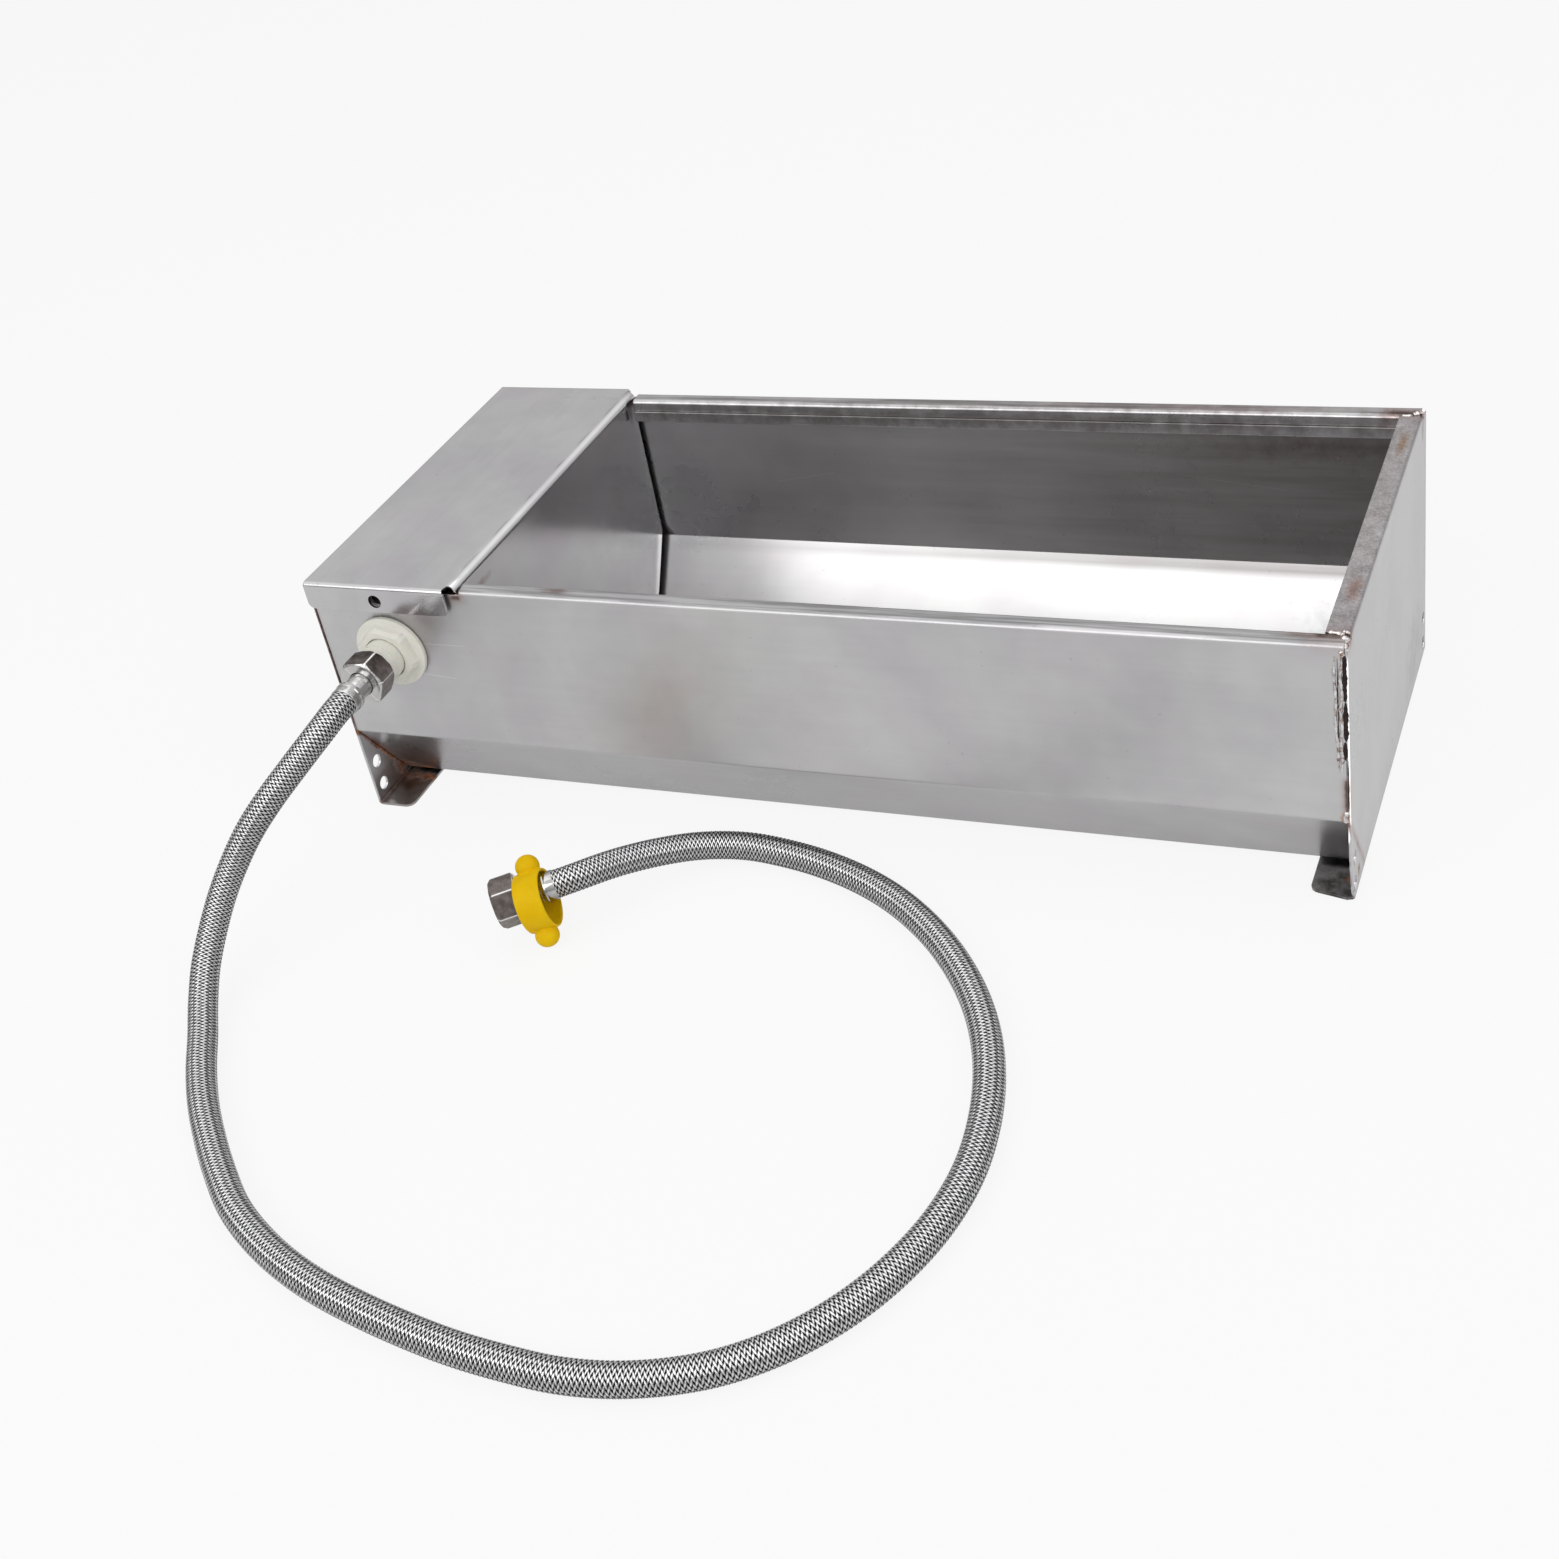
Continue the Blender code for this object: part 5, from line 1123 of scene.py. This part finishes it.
def make_union_nut(name, frame_at, mouth, turn, body, node):
    """Hexagon with its corners cut by a cone at both ends: r = min(hexagon(a), cone(z), cone(end - z)).

    The profile starts on a radius past the hexagon, and its bore holds the washer and the collar.
    """
    end = mouth + NUT_LENGTH
    past, bore, thread, hose_rim, mouth_rim = 0.02, 0.00625, 0.01005, 0.0104, 0.0112
    hose_cone, mouth_cone = math.tan(math.radians(32)), math.tan(math.radians(50))
    rise = np.concatenate([
        [0], np.linspace(0.00015, 0.0016, 8), np.linspace(0.003, NUT_LENGTH - 0.0028, 4),
        np.linspace(NUT_LENGTH - 0.0024, NUT_LENGTH - 0.0001, 14),
    ])
    outer = np.stack([np.full(len(rise), past), mouth + rise], axis=1)
    inner = [
        (0.0102, end), (0.0082, end), (0.0065, end), (bore, end - 0.0003), (bore, end - 0.0018),
        (thread, end - 0.0018), (thread, mouth + 0.0006), (0.0104, mouth),
    ]

    def radius_at(r, z, a):
        by_hose = hose_rim + (end - z) / hose_cone
        by_mouth = mouth_rim + (z - mouth) / mouth_cone
        return np.minimum.reduce([r, hexagon_limit(a, turn, NUT_FLATS), by_hose, by_mouth])

    obj = turned(name, np.concatenate([outer, inner]), None, 216, radius_at)
    obj.data.set_sharp_from_angle(angle=math.radians(24))
    paint_nut_highlights(obj, turn, end)
    obj.data.transform(frame_at)
    return finish_piece(obj, nut_plating, node, body=body)


def make_tail(prefix, frame_at, collar):
    """Barrel with a collar, and the ferrule crimped behind it, both turned."""
    bore, spigot, barrel, rim = 0.0032, 0.0043, 0.0060, 0.0085
    inside, sleeve, ridge = 0.0046, 0.0072, 0.0075
    neck = collar + 0.002
    start = neck + 0.0091 + 0.0003
    end = start + 0.0107
    step = start + 0.0037
    tail = rounded_profile([
        (bore, end), (spigot, end), (spigot, step), (barrel, step), (barrel, neck), (rim, neck),
        (rim, collar), (bore, collar),
    ], 0.0003, 3)
    finish_piece(turned(prefix + "_barrel", tail, frame_at, 64), chrome, prefix + "_tail")
    ferrule = rounded_profile([
        (inside, end), (sleeve, end), (sleeve, start + 0.0062), (ridge, start + 0.0056),
        (ridge, start + 0.0036), (inside, start + 0.0036),
    ], 0.0004, 4)
    finish_piece(turned(prefix + "_crimp", ferrule, frame_at, 96), chrome, prefix + "_ferrule")


def make_hand_grip():
    """A loose band with two ball knobs, melted together on a fine voxel grid.

    It hangs behind the hexagon with its lower knob on the ground, so its middle is off the nut's
    axis, and it is turned a little about the line through its knobs.
    """
    half_width, inner, outer, knob_at, knob_radius = 0.0066, 0.0130, 0.0143, 0.0167, 0.0059
    corners = [(inner, half_width), (outer, half_width), (outer, -half_width), (inner, -half_width)]
    parts = [turned("grip_band", rounded_profile(corners, 0.0005, 4), None, 120)]
    for side in (-1, 1):
        rise = np.linspace(-math.pi / 2, math.pi / 2, 25)
        ball = np.stack([np.cos(rise), np.sin(rise)], axis=1) * knob_radius
        squash = Matrix.Translation((0, side * knob_at, 0)) @ Matrix.Diagonal((0.85, 0.95, 1, 1))
        parts.append(turned("knob", ball, squash, 40, wrap=False))
    grip = join("grip", *parts)
    with editing(grip.data) as shape:
        for v in shape.verts:
            out = math.hypot(v.co.x, v.co.y)
            if out < inner - 0.0001:
                v.co.xy *= (inner + 0.0002) / max(out, 1e-6)
    lean = Matrix.Rotation(math.radians(-10), 4, "Y") @ Matrix.Rotation(math.radians(-13), 4, "Z")
    grip.data.transform(SUPPLY @ Matrix.Translation((-0.0038, -0.0040, 0.0195)) @ lean)
    melt = grip.modifiers.new("melt", "REMESH")
    melt.mode, melt.voxel_size, melt.use_smooth_shade = "VOXEL", 0.0003, True
    ease = grip.modifiers.new("ease", "SMOOTH")
    ease.factor, ease.iterations = 0.5, 5
    return finish_piece(grip, yellow, "hand_grip", body="supply_coupling")


# Welds
BEAD_SIDES = 12


def bead(path, width, pitch, phase=0.0, sway=0.0, flat=1.0):
    """A lumpy tube, shut at both ends.

    r = w/2 (1 + 0.22 sin(2 pi s / pitch + phase) + 0.14 sin(7.4 pi s / pitch)) sqrt(1 - k^6), where
    k = 2 s / length - 1.
    """
    path = np.asarray(path, float) + (0, TROUGH_Y, 0)
    length = travelled(path)[-1]
    count = max(int(length / pitch * 8), 12)
    s = length * (1 - np.cos(np.linspace(0, math.pi, count))) / 2
    line = read_at(path, s)
    over = (0, 1, 0) if abs(path[-1, 2] - path[0, 2]) > length / 2 else (0, 0, 1)
    side, up = carried_frame(line, over)
    line = line + side * (sway * np.sin(2 * math.pi * s / pitch / 2.6 + phase))[:, None]
    lumps = 1 + 0.22 * np.sin(2 * math.pi * s / pitch + phase) + 0.14 * np.sin(7.4 * math.pi * s / pitch)
    radius = width / 2 * lumps * np.sqrt(np.clip(1 - (2 * s / length - 1) ** 6, 0, 1))
    turns = np.linspace(0, 2 * math.pi, BEAD_SIDES, endpoint=False)
    points = line[:, None] + radius[:, None, None] * ring_around(side[:, None], flat * up[:, None], turns)
    quads = grid_quads(count, BEAD_SIDES, wrap_columns=True)
    return weld_points(mesh_object("bead", points.reshape(-1, 3), quads, 60), 2e-6)


def weld(name, material, runs):
    """Beads put together to one piece; each run holds a bead's path and its measures."""
    return finish_piece(join(name, *[bead(*run) for run in runs]), material)


def make_shadow_strip(name, x, top, low, half_width):
    """A thin dark strip on the wall, painted shadow in a gap, with a wavy edge and narrow ends.

    Half width: h sqrt(1 - k^4) (0.8 + 0.14 sin 700 z + 0.08 sin(2100 z + 1)), k from 1 at the top to -1.
    """
    count = 90
    z = np.linspace(top, low, count)
    share = (2 * z - top - low) / (top - low)
    wide = half_width * (0.80 + 0.14 * np.sin(z * 700) + 0.08 * np.sin(z * 2100 + 1))
    edge = np.sqrt(np.clip(1 - share**4, 0.002, 1))
    across = x + np.array([-1.0, 0.0, 1.0]) * (wide * edge)[:, None]
    points = np.stack([across, np.full(across.shape, FRONT - 0.0002), z[:, None] + 0 * across], axis=-1)
    obj = mesh_object(name, points.reshape(-1, 3), grid_quads(count, 3))
    skin = obj.modifiers.new("thickness", "SOLIDIFY")
    skin.thickness, skin.offset = 0.0002, 0
    return finish_piece(obj, slag_and_shade)


# Each run: path, width, pitch of its lumps, phase, sway and flatness
FRONT_CORNER_RUNS = [
    ([(0.2471, -WALL, 0.1305), (0.2468, -WALL, 0.0730)], 0.0016, 0.0062, 0.4, 0.0003),
    ([(0.2444, -WALL, 0.13), (0.2448, -WALL, 0.09), (0.246, -WALL, 0.073)], 0.0014, 0.0085, 2.0, 0.00025),
    ([(0.2405, -0.0945, 0.1349), (0.2452, -0.0948, 0.1349)], 0.0018, 0.0040, 0.0, 0.0, 0.7),
    ([(0.2448, -0.0952, 0.1350), (0.2472, -0.0965, 0.1350)], 0.0022, 0.0022, 1.0, 0.0, 0.8),
    ([(0.2466, -0.0935, 0.1350), (0.2494, -0.0945, 0.1348)], 0.0018, 0.0018, 2.0, 0.0, 0.8),
    ([(0.2472, -0.0975, 0.1346), (0.2492, -0.1000, 0.1344)], 0.0026, 0.0024, 0.5, 0.0, 0.9),
    ([(0.2478, -0.1003, 0.1343), (0.2490, -0.1030, 0.1325)], 0.0020, 0.0020, 1.7),
    ([(0.2470, -0.1035, 0.1325), (0.2480, -0.1040, 0.1300)], 0.0022, 0.0022, 0.2),
    ([(0.2478, -WALL, 0.0525), (0.2482, 0.0005 - WALL, 0.0465)], 0.0024, 0.0026, 0.9, 0.0003),
    ([(0.2488, 0.001 - WALL, 0.0460), (0.2488, -0.0760, 0.0060)], 0.0008, 0.0050, 0.3, 0.0002),
]
BACK_CORNER_RUNS = [
    ([(0.2473, WALL, 0.1305), (0.2475, WALL, 0.0550)], 0.0012, 0.0070, 1.1, 0.0003),
    ([(0.2405, 0.0945, 0.1349), (0.2450, 0.0948, 0.1349)], 0.0016, 0.0030, 0.3, 0.0, 0.7),
    ([(0.2452, 0.0955, 0.1350), (0.2490, 0.0985, 0.1346)], 0.0026, 0.0024, 1.5, 0.0, 0.8),
    ([(0.2478, 0.0990, 0.1343), (0.2488, 0.1025, 0.1330)], 0.0022, 0.0022, 0.5),
    ([(0.2488, 0.1030, 0.0460), (0.2488, 0.0760, 0.0060)], 0.0008, 0.0050, 0.9, 0.0002),
]
LEFT_PANEL_RUNS = [
    ([(-0.2490, side * 0.1040, 0.1210), (-0.2490, side * 0.1040, 0.0520)], 0.0004, 0.0080, side + 1, 0.0001)
    for side in (-1, 1)
] + [
    ([(-0.2487, side * 0.1030, 0.0460), (-0.2487, side * 0.0760, 0.0060)], 0.0006, 0.0045, side + 2, 0.0002)
    for side in (-1, 1)
]
# Dark strips of painted shadow in the gaps at the front corner: x, top, low end, half width
FRONT_CORNER_SHADOW_STRIPS = {
    "gap": (0.2486, 0.1310, 0.1080, 0.0011), "crack": (0.2487, 0.1075, 0.0885, 0.0012),
    "pit": (0.2483, 0.0880, 0.0790, 0.0010), "groove": (0.2457, 0.1290, 0.0760, 0.00022),
    "seam": (0.2492, 0.0800, 0.0530, 0.00030),
}

make_backnut()
make_union_nut(
    "inlet_nut_hexagon", INLET, INLET_NUT_MOUTH, INLET_NUT_TURN, body="inlet_nut", node="inlet_union_nut"
)
make_union_nut("supply_nut_hexagon", SUPPLY, 0.0, 0.0, body="supply_coupling", node="supply_nut")
make_tail("inlet", INLET, INLET_COLLAR)
make_tail("supply", SUPPLY, SUPPLY_COLLAR)
make_hand_grip()
weld("front_corner_weld", weld_metal, FRONT_CORNER_RUNS)
weld("back_corner_weld", weld_metal, BACK_CORNER_RUNS)
weld("left_panel_weld", slag_and_shade, LEFT_PANEL_RUNS)
for name, strip in FRONT_CORNER_SHADOW_STRIPS.items():
    make_shadow_strip("front_corner_" + name, *strip)

# Materials of the CAD nodes that stay
FINISHES = {
    # The nuts behind the cover's screw holes take the near-black finish as painted shade in the holes.
    "cover_nut_front": slag_and_shade, "cover_nut_back": slag_and_shade, "valve_body": ivory,
    "body_gasket": rubber, "valve_seat": brass, "piston": brass, "piston_seal": rubber,
    "lever_pin": brass, "pin_clip": plain_stainless, "float_lever": brass, "float_rod": brass,
    "float_nut": brass, "float": float_plastic, "inlet_washer": rubber, "supply_washer": rubber,
}
for name, finish in FINISHES.items():
    nodes[name].data.materials.clear()
    nodes[name].data.materials.append(finish)


# Floor, lamps and world
def make_floor():
    """A white ground: matt to diffuse light, nearly white to the camera and grey in reflections."""
    corners = np.array([(-4, -4, 0), (4, -4, 0), (4, 4, 0), (-4, 4, 0)])
    obj = mesh_object("floor", corners, np.array([[0, 1, 2, 3]]))
    made, tree, shader, _ = new_material("floor")
    shade(tree, shader, (0.86, 0.86, 0.86, 1), 0.9)
    glow = add(tree, "Emission", {"Color": (0.98, 0.98, 0.98, 1), "Strength": 1.0})
    path = add(tree, "LightPath").outputs
    shown = times(tree, path["Is Glossy Ray"], 0.35)
    shown = calc(tree, "MULTIPLY_ADD", path["Is Camera Ray"], 0.90, shown)
    mix = add(tree, "MixShader", {0: shown, 1: shader.outputs[0], 2: glow.outputs[0]})
    tree.links.new(mix.outputs[0], tree.nodes["Material Output"].inputs["Surface"])
    obj.data.materials.append(made)
    obj.location.z = -0.0001


def make_lamp(name, place, width, height, power):
    """An area lamp that faces the trough's middle."""
    data = bpy.data.lights.new(name, "AREA")
    data.shape, data.size, data.size_y, data.energy = "RECTANGLE", width, height, power
    lamp = bpy.data.objects.new(name, data)
    bpy.context.scene.collection.objects.link(lamp)
    lamp.location = place
    lamp.rotation_euler = (Vector((0, 0, 0.05)) - Vector(place)).to_track_quat("-Z", "Y").to_euler()


def make_world():
    """White for the camera, softer for diffuse light, and for reflections dim near the horizon."""
    world = bpy.data.worlds.new("studio")
    bpy.context.scene.world = world
    world.use_nodes = True
    tree = world.node_tree
    path = add(tree, "LightPath").outputs
    rise = add(tree, "SeparateXYZ", {0: add(tree, "TexCoord").outputs["Generated"]}).outputs["Z"]
    sky = ramp(
        tree, rise, (0.0, (0.35, 0.35, 0.35)), (0.20, (0.42, 0.42, 0.42)), (0.45, (0.62, 0.62, 0.62)),
        (0.62, (0.78, 0.78, 0.78)), (0.9, (1, 1, 1)),
    )
    mirrored = times(tree, path["Is Glossy Ray"], calc(tree, "MULTIPLY_ADD", sky, 1.22, -0.45))
    seen = calc(tree, "MAXIMUM", path["Is Camera Ray"], path["Is Transmission Ray"])
    strength = calc(tree, "ADD", mirrored, calc(tree, "MULTIPLY_ADD", seen, 0.55, 0.45))
    background = tree.nodes["Background"]
    background.inputs["Color"].default_value = (1, 1, 1, 1)
    tree.links.new(strength, background.inputs["Strength"])


make_floor()
make_lamp("key", (-0.42, -1.5, 1.3), width=2.0, height=1.1, power=14)
make_lamp("overhead", (-0.25, 0.35, 1.9), width=1.5, height=1.5, power=4.2)
make_lamp("fill", (1.4, -0.4, 1.2), width=1.2, height=1.2, power=6)
make_world()
bpy.context.scene.view_settings.view_transform = "Standard"
